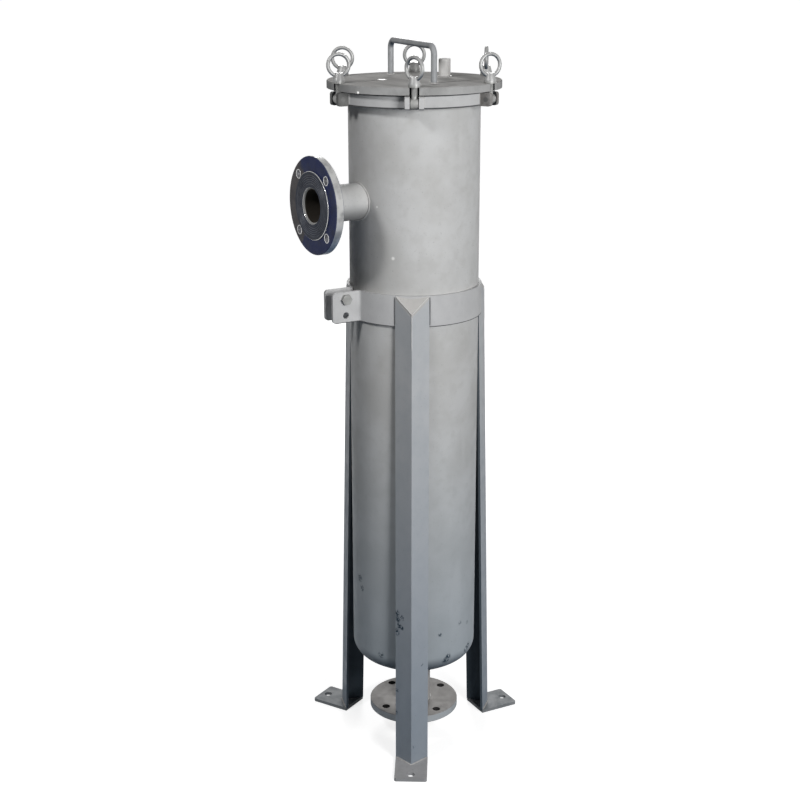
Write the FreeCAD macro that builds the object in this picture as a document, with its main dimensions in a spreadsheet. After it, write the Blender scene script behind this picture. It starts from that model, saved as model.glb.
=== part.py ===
"""Bag filter housing: a bolted vessel with side inlet and bottom outlet, held in a clamped three-leg stand.

Millimetres, +Z up, origin on the floor under the vessel's axis, inlet nozzle along -X.
"""
import FreeCAD, Part
import math
import os

import Sketcher
from FreeCAD import Placement, Rotation, Vector

DOC = FreeCAD.newDocument("bag_filter_housing")
SHEET = DOC.addObject("Spreadsheet::Sheet", "Sizes")

DIMENSIONS = [
    # vessel
    ("shell_od", 219.1, "outside diameter of the shell pipe"),
    ("shell_wall", 3.0, "wall of the shell and of the bottom head"),
    ("head_tangent", 184.0, "height of the weld between shell and bottom head"),
    ("collar_bottom", 1145.5, "height of the closure collar's lower edge"),
    ("collar_height", 21.0, "height of the closure collar"),
    ("collar_od", 260.0, "outside diameter of the closure collar"),
    ("collar_id", 194.0, "clear opening of the closure collar"),
    ("seal_circle", 206.0, "centre-line diameter of the seal groove"),
    ("seal_section", 6.0, "section diameter of the lid seal"),
    ("seal_groove", 6.8, "width of the seal groove"),
    ("seal_proud", 1.5, "height of the seal above the collar, which is the gap under the lid"),
    # lid
    ("lid_od", 288.0, "outside diameter of the lid"),
    ("lid_thick", 12.0, "thickness of the lid"),
    ("lid_edge", 1.2, "bevel of the lid's upper rim"),
    ("slot_width", 15.0, "width of the slots for the swing bolts"),
    # swing bolts, their lugs and eye nuts
    ("bolt_circle", 279.0, "diameter of the circle of the swing bolts"),
    ("bolt_size", 10.0, "shank diameter of the swing bolts"),
    ("bolt_tip", 1193.0, "height of the swing bolts' upper ends"),
    ("pin_level", 1155.5, "height of the hinge pins"),
    ("pin_size", 8.0, "diameter of the hinge pins"),
    ("running_gap", 0.05, "radial clearance of the hinge pins and of the eye nuts' threads"),
    ("eye_od", 16.0, "diameter of the swing bolts' eyes"),
    ("eye_width", 12.0, "width of the swing bolts' eyes"),
    ("lug_gap", 14.0, "clear width between a lug's two ears"),
    ("ear_thick", 8.0, "thickness of one ear"),
    ("ear_height", 21.5, "height of an ear"),
    ("ear_reach", 8.5, "reach of an ear beyond the hinge pin"),
    ("ear_corner", 4.0, "corner radius of an ear"),
    ("first_bolt", 58.0, "direction of the first swing bolt"),
    ("seat_gap", 0.3, "gap between pieces that rest on each other and move apart"),
    ("washer_od", 20.0, "outside diameter of the washers"),
    ("washer_hole", 10.5, "hole of the washers"),
    ("washer_thick", 2.0, "thickness of the washers"),
    ("nut_gap", 0.1, "gap between washer and eye nut"),
    ("nut_base", 20.0, "diameter of an eye nut's foot"),
    ("nut_neck", 13.5, "diameter of an eye nut's neck"),
    ("nut_height", 14.0, "height of an eye nut's threaded boss"),
    ("ring_level", 26.3, "height of an eye nut's ring centre above its foot"),
    ("nut_foot", 3.0, "straight height of an eye nut's foot"),
    ("ring_middle", 17.0, "radius of an eye nut's ring at the middle of its bar"),
    ("ring_bar", 6.0, "bar diameter of an eye nut's ring"),
    # lid fittings
    ("handle_bar", 10.0, "bar diameter of the lid handle"),
    ("handle_length", 175.0, "distance between the handle's two posts"),
    ("handle_height", 62.7, "height of the handle above the lid"),
    ("handle_bend", 14.0, "centre-line radius of the handle's bends"),
    ("handle_turn", 82.0, "direction in which the handle runs"),
    ("handle_shift", 10.6, "offset of the handle along its own direction"),
    ("vent_reach", 67.6, "distance of the vent socket from the lid's centre"),
    ("vent_turn", 10.0, "direction of the vent socket"),
    ("vent_od", 20.0, "outside diameter of the vent socket"),
    ("vent_height", 30.0, "height of the vent socket"),
    ("vent_bore", 11.4, "bore of the vent socket's quarter-inch thread"),
    ("vent_round", 2.0, "rounding of the vent socket's upper rim"),
    # nozzles and flanges
    ("pipe_od", 60.3, "outside diameter of the nozzle pipes"),
    ("pipe_wall", 2.8, "wall of the nozzle pipes"),
    ("inlet_level", 988.7, "height of the inlet nozzle's axis"),
    ("inlet_face", 195.5, "distance of the inlet flange's raised face from the vessel's axis"),
    ("outlet_top", 56.5, "height of the outlet flange's upper side"),
    ("outlet_turn", 277.25, "direction of the outlet flange's first bolt hole"),
    ("flange_od", 160.0, "outside diameter of the flanges"),
    ("flange_thick", 14.0, "thickness of a flange without its raised face"),
    ("flange_circle", 130.0, "bolt circle of the flanges"),
    ("flange_hole", 14.0, "bolt holes of the flanges"),
    ("flange_bevel", 1.0, "bevel of a flange's rims"),
    ("face_od", 110.0, "diameter of the raised face"),
    ("face_height", 2.0, "height of the raised face"),
    ("face_grooves", 5, "number of grooves in the raised face"),
    ("groove_pitch", 3.4, "distance from groove to groove"),
    ("groove_width", 1.6, "width of a groove"),
    ("groove_depth", 0.8, "depth of a groove"),
    ("pipe_setback", 3.0, "distance of the pipe's end behind the raised face"),
    # basket and bag
    ("seat_level", 924.0, "height of the basket seat's lower side"),
    ("seat_thick", 6.0, "thickness of the basket seat"),
    ("seat_bore", 178.0, "opening of the basket seat"),
    ("rim_lip", 9.0, "reach of the basket's rim beyond its tube"),
    ("rim_thick", 4.0, "thickness of the basket's rim"),
    ("basket_od", 172.0, "outside diameter of the basket"),
    ("basket_wall", 1.5, "wall of the basket"),
    ("basket_bottom", 192.0, "height of the basket's lower end"),
    ("window_width", 26.0, "width of a basket window"),
    ("window_height", 46.0, "height of a basket window"),
    ("window_corner", 9.0, "corner radius of a basket window"),
    ("window_columns", 10, "number of windows around the basket"),
    ("window_rows", 11, "number of windows up the basket"),
    ("window_pitch", 60.0, "distance from window row to window row"),
    ("floor_circle", 100.0, "circle of the holes in the basket's floor"),
    ("floor_hole", 26.0, "diameter of the holes in the basket's floor"),
    ("floor_holes", 6, "number of holes in the basket's floor"),
    ("bail_bar", 6.0, "bar diameter of the basket's bail"),
    ("bail_height", 68.0, "height of the bail above the basket's rim"),
    ("bail_bend", 20.0, "centre-line radius of the bail's bends"),
    ("bag_gap", 1.0, "gap between bag and basket"),
    ("bag_wall", 2.0, "thickness of the bag's felt"),
    ("bag_ring_height", 7.0, "height of the bag's ring"),
    # clamped stand
    ("band_top", 842.0, "height of the clamp band's upper edge"),
    ("band_height", 52.0, "height of the clamp band"),
    ("band_thick", 5.0, "thickness of the clamp band"),
    ("band_gap", 0.3, "radial gap between shell and clamp band"),
    ("band_turn", 178.0, "direction of the clamp band's ears"),
    ("band_slit", 23.0, "clear width between the clamp band's ears"),
    ("band_ear", 164.0, "distance of the ears' ends from the vessel's axis"),
    ("band_ear_corner", 6.0, "corner radius of the ears"),
    ("band_bend", 5.0, "inner radius of the bend from band to ear"),
    ("clamp_reach", 140.0, "distance of the clamp holes from the vessel's axis"),
    ("clamp_pitch", 27.6, "distance between the two clamp holes"),
    ("clamp_hole", 11.0, "diameter of the clamp holes"),
    ("clamp_size", 10.0, "thread diameter of the clamp bolt"),
    ("clamp_flats", 16.0, "width across flats of the clamp bolt and nut"),
    ("clamp_head", 6.4, "height of the clamp bolt's head"),
    ("clamp_nut_height", 8.0, "height of the clamp nut"),
    ("clamp_stub", 3.0, "length of the clamp bolt beyond its nut"),
    ("first_leg", 116.5, "direction of the first leg"),
    ("angle_flange", 40.0, "flange width of the legs' angle section"),
    ("angle_thick", 4.0, "thickness of the legs' angle section"),
    ("angle_root", 4.0, "radius in the root of the angle section"),
    ("leg_bite", 0.6, "depth by which the angle's edges are ground to the band's curve"),
    ("leg_foot", 160.5, "distance of a leg's ridge from the axis at the floor"),
    ("mitre_drop", 25.0, "drop of the mitred top from the band to the leg's ridge"),
    ("cap_thick", 4.0, "thickness of the plate that closes the mitre"),
    ("foot_thick", 6.0, "thickness of the foot plates"),
    ("foot_reach", 207.0, "distance of a foot plate's outer edge from the axis"),
    ("foot_width", 57.0, "width of the foot plates"),
    ("foot_corner", 4.0, "radius of the foot plates' outer corners"),
    ("anchor_circle", 386.0, "diameter of the circle of the anchor holes"),
    ("anchor_hole", 14.0, "diameter of the anchor holes"),
]

# a dished head's knuckle and crown radii as shares of the shell's diameter
KNUCKLE_SHARE = 0.154
CROWN_SHARE = 0.8
BOLT_COUNT = 6
FLANGE_BOLTS = 4
LEG_COUNT = 3
LEG_NAMES = ["back_left", "front", "right"]
# how far each eye nut happens to be turned
RING_TURNS = [95.0, 25.0, 165.0, 47.0, 55.0, 55.0]


class Size:
    """A number that keeps the formula by which it follows the sheet."""

    def __init__(self, value, text):
        self.value = float(value)
        self.text = text

    @staticmethod
    def of(other):
        return other if isinstance(other, Size) else Size(other, repr(float(other)))

    def __add__(self, other):
        other = Size.of(other)
        return Size(self.value + other.value, f"({self.text} + {other.text})")

    def __sub__(self, other):
        other = Size.of(other)
        return Size(self.value - other.value, f"({self.text} - {other.text})")

    def __mul__(self, other):
        other = Size.of(other)
        return Size(self.value * other.value, f"({self.text} * {other.text})")

    def __truediv__(self, other):
        other = Size.of(other)
        return Size(self.value / other.value, f"({self.text} / {other.text})")

    def __radd__(self, other):
        return Size.of(other) + self

    def __rsub__(self, other):
        return Size.of(other) - self

    def __rmul__(self, other):
        return Size.of(other) * self

    def __neg__(self):
        return Size(-self.value, f"(-1 * {self.text})")


def root(number):
    return Size(math.sqrt(number.value), f"sqrt({number.text})")


def sine(angle):
    return Size(math.sin(math.radians(angle.value)), f"sin({angle.text})")


def cosine(angle):
    return Size(math.cos(math.radians(angle.value)), f"cos({angle.text})")


def fill_sheet():
    """Write the driving dimensions into the sheet and return them by name."""
    sizes = {}
    for row, (alias, number, meaning) in enumerate(DIMENSIONS, start=1):
        SHEET.set(f"A{row}", meaning)
        SHEET.set(f"B{row}", str(number))
        SHEET.setAlias(f"B{row}", alias)
    DOC.recompute()
    for alias, _, _ in DIMENSIONS:
        sizes[alias] = Size(SHEET.get(alias), f"Sizes.{alias}")
    return sizes


S = fill_sheet()
ZERO = Size.of(0)

SHELL_R = S["shell_od"] / 2
BOLT_R = S["bolt_circle"] / 2
COLLAR_TOP = S["collar_bottom"] + S["collar_height"]
LID_BOTTOM = COLLAR_TOP + S["seal_proud"]
LID_TOP = LID_BOTTOM + S["lid_thick"]
WASHER_BOTTOM = LID_TOP + S["seat_gap"]
NUT_BOTTOM = WASHER_BOTTOM + S["washer_thick"] + S["nut_gap"]
SEAT_TOP = S["seat_level"] + S["seat_thick"]
RIM_BOTTOM = SEAT_TOP + S["seat_gap"]
RIM_TOP = RIM_BOTTOM + S["rim_thick"]
RIM_R = S["basket_od"] / 2 + S["rim_lip"]
BAND_INNER = SHELL_R + S["band_gap"]
BAND_OUTER = BAND_INNER + S["band_thick"]
BAND_BOTTOM = S["band_top"] - S["band_height"]
HALF_CHORD = S["angle_flange"] / math.sqrt(2)
LEG_TOP = root(BAND_OUTER * BAND_OUTER - HALF_CHORD * HALF_CHORD) + HALF_CHORD - S["leg_bite"]
PARTS = []


def bind(item, prop, size):
    item.setExpression(prop, size.text)


def body(label):
    """A new body, listed as a sub-part under its label."""
    made = DOC.addObject("PartDesign::Body", label)
    made.Label = label
    PARTS.append(made)
    return made


def origin_of(owner, role):
    return next(item for item in owner.Origin.OriginFeatures if item.Role == role)


def turn(item, angle, along=ZERO, across=ZERO, level=ZERO):
    """Place an item at (along, across) in a frame turned by angle about Z, at the given level."""
    cos_a, sin_a = cosine(angle), sine(angle)
    spot_x = along * cos_a - across * sin_a
    spot_y = along * sin_a + across * cos_a
    item.Placement = Placement(Vector(spot_x.value, spot_y.value, level.value),
                               Rotation(Vector(0, 0, 1), angle.value))
    bind(item, "Placement.Base.x", spot_x)
    bind(item, "Placement.Base.y", spot_y)
    bind(item, "Placement.Base.z", level)
    bind(item, "Placement.Rotation.Angle", angle)


def sketch_on(owner, role, level=ZERO):
    """A sketch on one of the body's origin planes, raised along the plane's normal."""
    sketch = owner.newObject("Sketcher::SketchObject", "Outline")
    sketch.AttachmentSupport = (origin_of(owner, role), [""])
    sketch.MapMode = "FlatFace"
    if level is not ZERO:
        sketch.AttachmentOffset = Placement(Vector(0, 0, level.value), Rotation())
        bind(sketch, "AttachmentOffset.Base.z", level)
    return sketch


def fix_point(sketch, geometry, spot, point):
    """Tie a point of the sketch to its two coordinates."""
    for kind, size in zip(("DistanceX", "DistanceY"), point):
        size = Size.of(size)
        index = sketch.addConstraint(Sketcher.Constraint(kind, -1, 1, geometry, spot, size.value))
        sketch.setExpression(f"Constraints[{index}]", size.text)


def arc_between(start, end, radius):
    """The shorter arc from start to end, anticlockwise as seen from the sketch's front."""
    chord = end - start
    reach = math.sqrt(radius ** 2 - chord.Length ** 2 / 4)
    left = Vector(-chord.y, chord.x, 0).normalize()
    centre = (start + end) / 2 + left * reach
    first = math.atan2(start.y - centre.y, start.x - centre.x)
    last = math.atan2(end.y - centre.y, end.x - centre.x)
    return Part.ArcOfCircle(Part.Circle(centre, Vector(0, 0, 1), radius), first, last)


def outline(sketch, points, arcs=None, closed=True):
    """Draw lines through the points, with arcs where arcs holds {start index: signed radius}.

    A positive radius turns anticlockwise and a negative one clockwise.
    """
    arcs = arcs or {}
    count = len(points)
    spots = [Vector(Size.of(px).value, Size.of(py).value, 0) for px, py in points]
    ends = []
    for index in range(count if closed else count - 1):
        start, end = spots[index], spots[(index + 1) % count]
        if index not in arcs:
            made = sketch.addGeometry(Part.LineSegment(start, end), False)
            ends.append((made, 1, 2))
            continue
        radius = arcs[index]
        if radius.value > 0:
            made = sketch.addGeometry(arc_between(start, end, radius.value), False)
            ends.append((made, 1, 2))
        else:
            radius = -radius
            made = sketch.addGeometry(arc_between(end, start, radius.value), False)
            ends.append((made, 2, 1))
        tie = sketch.addConstraint(Sketcher.Constraint("Radius", made, radius.value))
        sketch.setExpression(f"Constraints[{tie}]", radius.text)
    for index, (made, first, last) in enumerate(ends):
        fix_point(sketch, made, first, points[index])
        follower = ends[(index + 1) % len(ends)]
        if closed or index + 1 < len(ends):
            sketch.addConstraint(Sketcher.Constraint("Coincident", made, last, follower[0], follower[1]))
        else:
            fix_point(sketch, made, last, points[-1])
    return sketch


def circle(sketch, centre_x, centre_y, radius):
    """Draw a circle tied to its centre and radius."""
    centre_x, centre_y = Size.of(centre_x), Size.of(centre_y)
    centre = Vector(centre_x.value, centre_y.value, 0)
    made = sketch.addGeometry(Part.Circle(centre, Vector(0, 0, 1), radius.value), False)
    tie = sketch.addConstraint(Sketcher.Constraint("Radius", made, radius.value))
    sketch.setExpression(f"Constraints[{tie}]", radius.text)
    fix_point(sketch, made, 3, (centre_x, centre_y))
    return sketch


def pad(owner, sketch, length, symmetric=False, reverse=False):
    made = owner.newObject("PartDesign::Pad", "Pad")
    made.Profile = (sketch, [""])
    made.SideType = "Symmetric" if symmetric else "One side"
    made.Reversed = reverse
    bind(made, "Length", length)
    return made


def pocket(owner, sketch, length=None, symmetric=False, reverse=False):
    """Cut the sketch through all, or to a length. Unreversed, it cuts against the sketch's normal."""
    made = owner.newObject("PartDesign::Pocket", "Pocket")
    made.Profile = (sketch, [""])
    made.SideType = "Symmetric" if symmetric else "One side"
    made.Reversed = reverse
    if length is None:
        made.Type = "ThroughAll"
    else:
        bind(made, "Length", length)
    return made


def revolve(owner, sketch, cut=False):
    made = owner.newObject("PartDesign::Groove" if cut else "PartDesign::Revolution", "Turned")
    made.Profile = (sketch, [""])
    made.ReferenceAxis = (sketch, ["V_Axis"])
    made.Angle = 360
    return made


def around(owner, feature, count):
    """Repeat a feature about the body's own Z axis."""
    made = owner.newObject("PartDesign::PolarPattern", "Around")
    made.Originals = [feature]
    made.Axis = (origin_of(owner, "Z_Axis"), [""])
    made.Angle = 360
    bind(made, "Occurrences", Size.of(count))
    owner.Tip = made
    return made


def bend_bar(owner, path, bar, start):
    """Run a round bar along an open path sketch in the XZ plane; start is its first point's X."""
    profile = sketch_on(owner, "XY_Plane")
    circle(profile, start, 0, bar / 2)
    made = owner.newObject("PartDesign::AdditivePipe", "Bar")
    made.Profile = (profile, [""])
    made.Spine = (path, [f"Edge{number + 1}" for number in range(len(path.Geometry))])
    return made


def soften(owner, kind, base, wanted, size, prop):
    """Fillet or chamfer the edges of a feature that the test picks."""
    DOC.recompute()
    names = [f"Edge{number}" for number, edge in enumerate(base.Shape.Edges, start=1) if wanted(edge)]
    made = owner.newObject(f"PartDesign::{kind}", kind)
    made.Base = (base, names)
    bind(made, prop, size)
    owner.Tip = made
    return made


def is_level_circle(level, radius):
    """A test for a full circle at a level with a radius."""
    def test(edge):
        curve = edge.Curve
        return (isinstance(curve, Part.Circle) and abs(curve.Radius - radius.value) < 0.01
                and abs(curve.Center.z - level.value) < 0.01)
    return test


def ring(label, outer, inner, low, high):
    """A plain ring about the vessel's axis, drawn as its half section."""
    made = body(label)
    half = outline(sketch_on(made, "XZ_Plane"),
                   [(inner, low), (outer, low), (outer, high), (inner, high)])
    revolve(made, half)
    return made


def dished_outline(radius, level):
    """Ends and radii of a dished head's half section: knuckle, then crown, below the level."""
    diameter = S["shell_od"]
    inset = SHELL_R - radius
    knuckle = diameter * KNUCKLE_SHARE - inset
    crown = diameter * CROWN_SHARE - inset
    knuckle_x = SHELL_R - diameter * KNUCKLE_SHARE
    span = diameter * (CROWN_SHARE - KNUCKLE_SHARE)
    crown_rise = root(span * span - knuckle_x * knuckle_x)
    touch_x = knuckle_x * crown / span
    touch_z = level + crown_rise - crown_rise * crown / span
    return knuckle, crown, crown_rise, touch_x, touch_z


def make_bottom_head():
    """The semi-elliptical bottom head, with the hole that the outlet pipe stands in."""
    head = body("bottom_head")
    level = S["head_tangent"]
    hole = S["pipe_od"] / 2
    inner = SHELL_R - S["shell_wall"]
    knuckle, crown, rise, touch_x, touch_z = dished_outline(SHELL_R, level)
    in_knuckle, in_crown, _, in_touch_x, in_touch_z = dished_outline(inner, level)
    low = level + rise - root(crown * crown - hole * hole)
    in_low = level + rise - root(in_crown * in_crown - hole * hole)
    points = [(hole, low), (touch_x, touch_z), (SHELL_R, level), (inner, level),
              (in_touch_x, in_touch_z), (hole, in_low)]
    arcs = {0: crown, 1: knuckle, 3: -in_knuckle, 4: -in_crown}
    revolve(head, outline(sketch_on(head, "XZ_Plane"), points, arcs))


def make_shell():
    """The shell pipe, with the inlet's hole."""
    shell = ring("vessel_shell", SHELL_R, SHELL_R - S["shell_wall"], S["head_tangent"], S["collar_bottom"])
    hole = circle(sketch_on(shell, "YZ_Plane"), 0, S["inlet_level"], S["pipe_od"] / 2)
    pocket(shell, hole)


def make_collar():
    """The closure collar with its seal groove."""
    collar = body("closure_collar")
    outer, inner = S["collar_od"] / 2, S["collar_id"] / 2
    middle, half = S["seal_circle"] / 2, S["seal_groove"] / 2
    groove_floor = COLLAR_TOP + S["seal_proud"] - S["seal_section"]
    low, high = S["collar_bottom"], COLLAR_TOP
    points = [(inner, low), (outer, low), (outer, high), (middle + half, high), (middle + half, groove_floor),
              (middle - half, groove_floor), (middle - half, high), (inner, high)]
    revolve(collar, outline(sketch_on(collar, "XZ_Plane"), points))


def make_seal():
    """The lid's seal, a round cord ring held between groove and lid."""
    seal = body("lid_seal")
    radius = S["seal_section"] / 2
    revolve(seal, circle(sketch_on(seal, "XZ_Plane"), S["seal_circle"] / 2, LID_BOTTOM - radius, radius))


def make_lid():
    """The flat lid with its open slots and the hole under the vent socket."""
    lid = body("lid")
    outer, bevel = S["lid_od"] / 2, S["lid_edge"]
    points = [(0, LID_BOTTOM), (outer, LID_BOTTOM), (outer, LID_TOP - bevel), (outer - bevel, LID_TOP),
              (0, LID_TOP)]
    revolve(lid, outline(sketch_on(lid, "XZ_Plane"), points))
    vent = sketch_on(lid, "XY_Plane", LID_BOTTOM)
    reach, way = S["vent_reach"], S["vent_turn"]
    circle(vent, reach * cosine(way), reach * sine(way), S["vent_bore"] / 2)
    pocket(lid, vent, reverse=True)
    along, across = cosine(S["first_bolt"]), sine(S["first_bolt"])
    half, far = S["slot_width"] / 2, outer + S["slot_width"]
    corners = [(far, -half), (far, half), (BOLT_R, half), (BOLT_R - half, ZERO), (BOLT_R, -half)]
    points = [(cx * along - cy * across, cx * across + cy * along) for cx, cy in corners]
    slot = outline(sketch_on(lid, "XY_Plane", LID_BOTTOM), points, {2: half, 3: half})
    around(lid, pocket(lid, slot, reverse=True), BOLT_COUNT)


def bolt_direction(number):
    return S["first_bolt"] + number * 360 / BOLT_COUNT


def make_lug(number):
    """One lug: two ears with a common pin hole, shaped to the collar."""
    lug = body(f"bolt_lug_{number + 1}")
    high = COLLAR_TOP - S["seat_gap"]
    low = high - S["ear_height"]
    far, near, bend = BOLT_R + S["ear_reach"], S["collar_id"] / 2, S["ear_corner"]
    points = [(near, low), (far - bend, low), (far, low + bend), (far, high - bend), (far - bend, high),
              (near, high)]
    side = outline(sketch_on(lug, "XZ_Plane"), points, {1: bend, 3: bend})
    pad(lug, side, S["lug_gap"] + S["ear_thick"] * 2, symmetric=True)
    gap = outline(sketch_on(lug, "XY_Plane", low),
                  [(ZERO, -S["lug_gap"] / 2), (far + bend, -S["lug_gap"] / 2),
                   (far + bend, S["lug_gap"] / 2), (ZERO, S["lug_gap"] / 2)])
    pocket(lug, gap, reverse=True)
    pocket(lug, circle(sketch_on(lug, "XY_Plane", low), 0, 0, S["collar_od"] / 2), reverse=True)
    pin = circle(sketch_on(lug, "XZ_Plane"), BOLT_R, S["pin_level"], S["pin_size"] / 2)
    pocket(lug, pin, symmetric=True)
    turn(lug, bolt_direction(number))


def make_pins():
    """The hinge pins, pressed into the ears, as one group."""
    pins = body("lug_pins")
    side = circle(sketch_on(pins, "XZ_Plane"), BOLT_R, S["pin_level"], S["pin_size"] / 2)
    length = S["lug_gap"] + S["ear_thick"] * 2
    around(pins, pad(pins, side, length, symmetric=True), BOLT_COUNT)
    turn(pins, S["first_bolt"])


def make_swing_bolt(number):
    """A swing bolt: its eye on the hinge pin and its shank up through the lid's slot."""
    bolt = body(f"swing_bolt_{number + 1}")
    eye = circle(sketch_on(bolt, "XZ_Plane"), BOLT_R, S["pin_level"], S["eye_od"] / 2)
    pad(bolt, eye, S["eye_width"], symmetric=True)
    shank = circle(sketch_on(bolt, "XY_Plane", S["pin_level"]), BOLT_R, 0, S["bolt_size"] / 2)
    shaft = pad(bolt, shank, S["bolt_tip"] - S["pin_level"])
    tip = soften(bolt, "Chamfer", shaft, is_level_circle(S["bolt_tip"], S["bolt_size"] / 2),
                 S["bolt_size"] / 10, "Size")
    hole = circle(sketch_on(bolt, "XZ_Plane"), BOLT_R, S["pin_level"], S["pin_size"] / 2 + S["running_gap"])
    bolt.Tip = tip
    bolt.Tip = pocket(bolt, hole, symmetric=True)
    turn(bolt, bolt_direction(number))


def make_washer(number):
    washer = body(f"nut_washer_{number + 1}")
    flat = circle(sketch_on(washer, "XY_Plane"), 0, 0, S["washer_od"] / 2)
    circle(flat, 0, 0, S["washer_hole"] / 2)
    pad(washer, flat, S["washer_thick"])
    turn(washer, bolt_direction(number), along=BOLT_R, level=WASHER_BOTTOM)


def make_eye_nut(number):
    """An eye nut: a tapered foot with the threaded bore, and the ring above it."""
    nut = body(f"eye_nut_{number + 1}")
    base, neck = S["nut_base"] / 2, S["nut_neck"] / 2
    centre, neck_top = S["ring_level"], S["nut_height"]
    points = [(0, 0), (base, 0), (base, S["nut_foot"]), (neck, neck_top), (0, neck_top)]
    revolve(nut, outline(sketch_on(nut, "XZ_Plane"), points))
    hoop = nut.newObject("PartDesign::AdditiveTorus", "Hoop")
    hoop.AttachmentSupport = (origin_of(nut, "XZ_Plane"), [""])
    hoop.MapMode = "FlatFace"
    hoop.AttachmentOffset = Placement(Vector(0, centre.value, 0), Rotation())
    bind(hoop, "AttachmentOffset.Base.y", centre)
    bind(hoop, "Radius1", S["ring_middle"])
    bind(hoop, "Radius2", S["ring_bar"] / 2)
    bore = circle(sketch_on(nut, "XY_Plane"), 0, 0, S["bolt_size"] / 2 + S["running_gap"])
    nut.Tip = pocket(nut, bore, length=centre, reverse=True)
    direction = bolt_direction(number)
    turned = direction + RING_TURNS[number]
    spot_x, spot_y = BOLT_R * cosine(direction), BOLT_R * sine(direction)
    nut.Placement = Placement(Vector(spot_x.value, spot_y.value, NUT_BOTTOM.value),
                              Rotation(Vector(0, 0, 1), turned.value))
    bind(nut, "Placement.Base.x", spot_x)
    bind(nut, "Placement.Base.y", spot_y)
    bind(nut, "Placement.Base.z", NUT_BOTTOM)
    bind(nut, "Placement.Rotation.Angle", turned)


def make_handle():
    """The lid's lifting handle, one bent bar on two posts."""
    handle = body("lid_handle")
    half, bend = S["handle_length"] / 2, S["handle_bend"]
    high = S["handle_height"] - S["handle_bar"] / 2
    path = sketch_on(handle, "XZ_Plane")
    points = [(-half, ZERO), (-half, high - bend), (-half + bend, high), (half - bend, high),
              (half, high - bend), (half, ZERO)]
    outline(path, points, {1: -bend, 3: -bend}, closed=False)
    bend_bar(handle, path, S["handle_bar"], -half)
    turn(handle, S["handle_turn"], along=S["handle_shift"], level=LID_TOP)


def make_vent_socket():
    socket = body("vent_socket")
    outer, bore, high, bend = S["vent_od"] / 2, S["vent_bore"] / 2, S["vent_height"], S["vent_round"]
    points = [(bore, ZERO), (outer, ZERO), (outer, high - bend), (outer - bend, high), (bore, high)]
    revolve(socket, outline(sketch_on(socket, "XZ_Plane"), points, {2: bend}))
    turn(socket, S["vent_turn"], along=S["vent_reach"], level=LID_TOP)


def flange_body(label):
    """A slip-on flange about its own Z axis, its raised face upwards at Z = 0."""
    flange = body(label)
    bore, outer, bevel = S["pipe_od"] / 2, S["flange_od"] / 2, S["flange_bevel"]
    face, step = S["face_od"] / 2, -S["face_height"]
    back = step - S["flange_thick"]
    points = [(bore, back), (outer - bevel, back), (outer, back + bevel), (outer, step - bevel),
              (outer - bevel, step), (face, step), (face, ZERO), (bore, ZERO)]
    revolve(flange, outline(sketch_on(flange, "XZ_Plane"), points))
    count = int(S["face_grooves"].value)
    half, deep = S["groove_width"] / 2, -S["groove_depth"]
    middle = (face + bore) / 2
    cuts = sketch_on(flange, "XZ_Plane")
    for index in range(count):
        spot = middle + S["groove_pitch"] * (index - (count - 1) / 2)
        triangle(cuts, [(spot - half, ZERO), (spot, deep), (spot + half, ZERO)])
    revolve(flange, cuts, cut=True)
    hole = sketch_on(flange, "XY_Plane")
    aside = S["flange_circle"] / 2 / math.sqrt(2)
    circle(hole, aside, aside, S["flange_hole"] / 2)
    around(flange, pocket(flange, hole), FLANGE_BOLTS)
    return flange


def triangle(sketch, points):
    """Add one closed triangle to a sketch that may hold others."""
    first = sketch.GeometryCount
    spots = [Vector(Size.of(px).value, Size.of(py).value, 0) for px, py in points]
    for index in range(3):
        sketch.addGeometry(Part.LineSegment(spots[index], spots[(index + 1) % 3]), False)
    for index in range(3):
        fix_point(sketch, first + index, 1, points[index])
        sketch.addConstraint(Sketcher.Constraint("Coincident", first + index, 2, first + (index + 1) % 3, 1))


def tube_body(label, low, high):
    """A length of nozzle pipe about its own Z axis."""
    tube = body(label)
    flat = circle(sketch_on(tube, "XY_Plane", low), 0, 0, S["pipe_od"] / 2)
    circle(flat, 0, 0, S["pipe_od"] / 2 - S["pipe_wall"])
    pad(tube, flat, high - low)
    return tube


def make_inlet():
    """The inlet nozzle: pipe and flange along -X, the pipe's inner end cut to the shell's bore."""
    sideways = Rotation(Vector(0, 1, 0), -90)
    flange = flange_body("inlet_flange")
    pipe = tube_body("inlet_pipe", ZERO, S["inlet_face"] - S["pipe_setback"])
    inside = circle(sketch_on(pipe, "YZ_Plane"), 0, 0, SHELL_R - S["shell_wall"])
    bore = pocket(pipe, inside, symmetric=True)
    bore.Label = "inlet_pipe_end"
    for item, reach in ((flange, S["inlet_face"]), (pipe, ZERO)):
        item.Placement = Placement(Vector(-reach.value, 0, S["inlet_level"].value), sideways)
        bind(item, "Placement.Base.x", -reach)
        bind(item, "Placement.Base.z", S["inlet_level"])


def make_outlet():
    """The outlet nozzle: pipe and flange straight down from the bottom head."""
    flange = flange_body("outlet_flange")
    face = S["outlet_top"] - S["flange_thick"] - S["face_height"]
    flange.Placement = Placement(Vector(0, 0, face.value), Rotation(Vector(1, 0, 0), 180))
    bind(flange, "Placement.Base.z", face)
    downwards = Rotation(Vector(1, 0, 0), 180)
    turned = Rotation(Vector(0, 0, 1), S["outlet_turn"].value - 45)
    flange.Placement = Placement(Vector(0, 0, face.value), turned * downwards)
    crown = S["shell_od"] * CROWN_SHARE - S["shell_wall"]
    rise = dished_outline(SHELL_R, S["head_tangent"])[2]
    head_inside = S["head_tangent"] + rise - crown
    tube_body("outlet_pipe", face + S["pipe_setback"], head_inside + S["shell_wall"] * 2)


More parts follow.
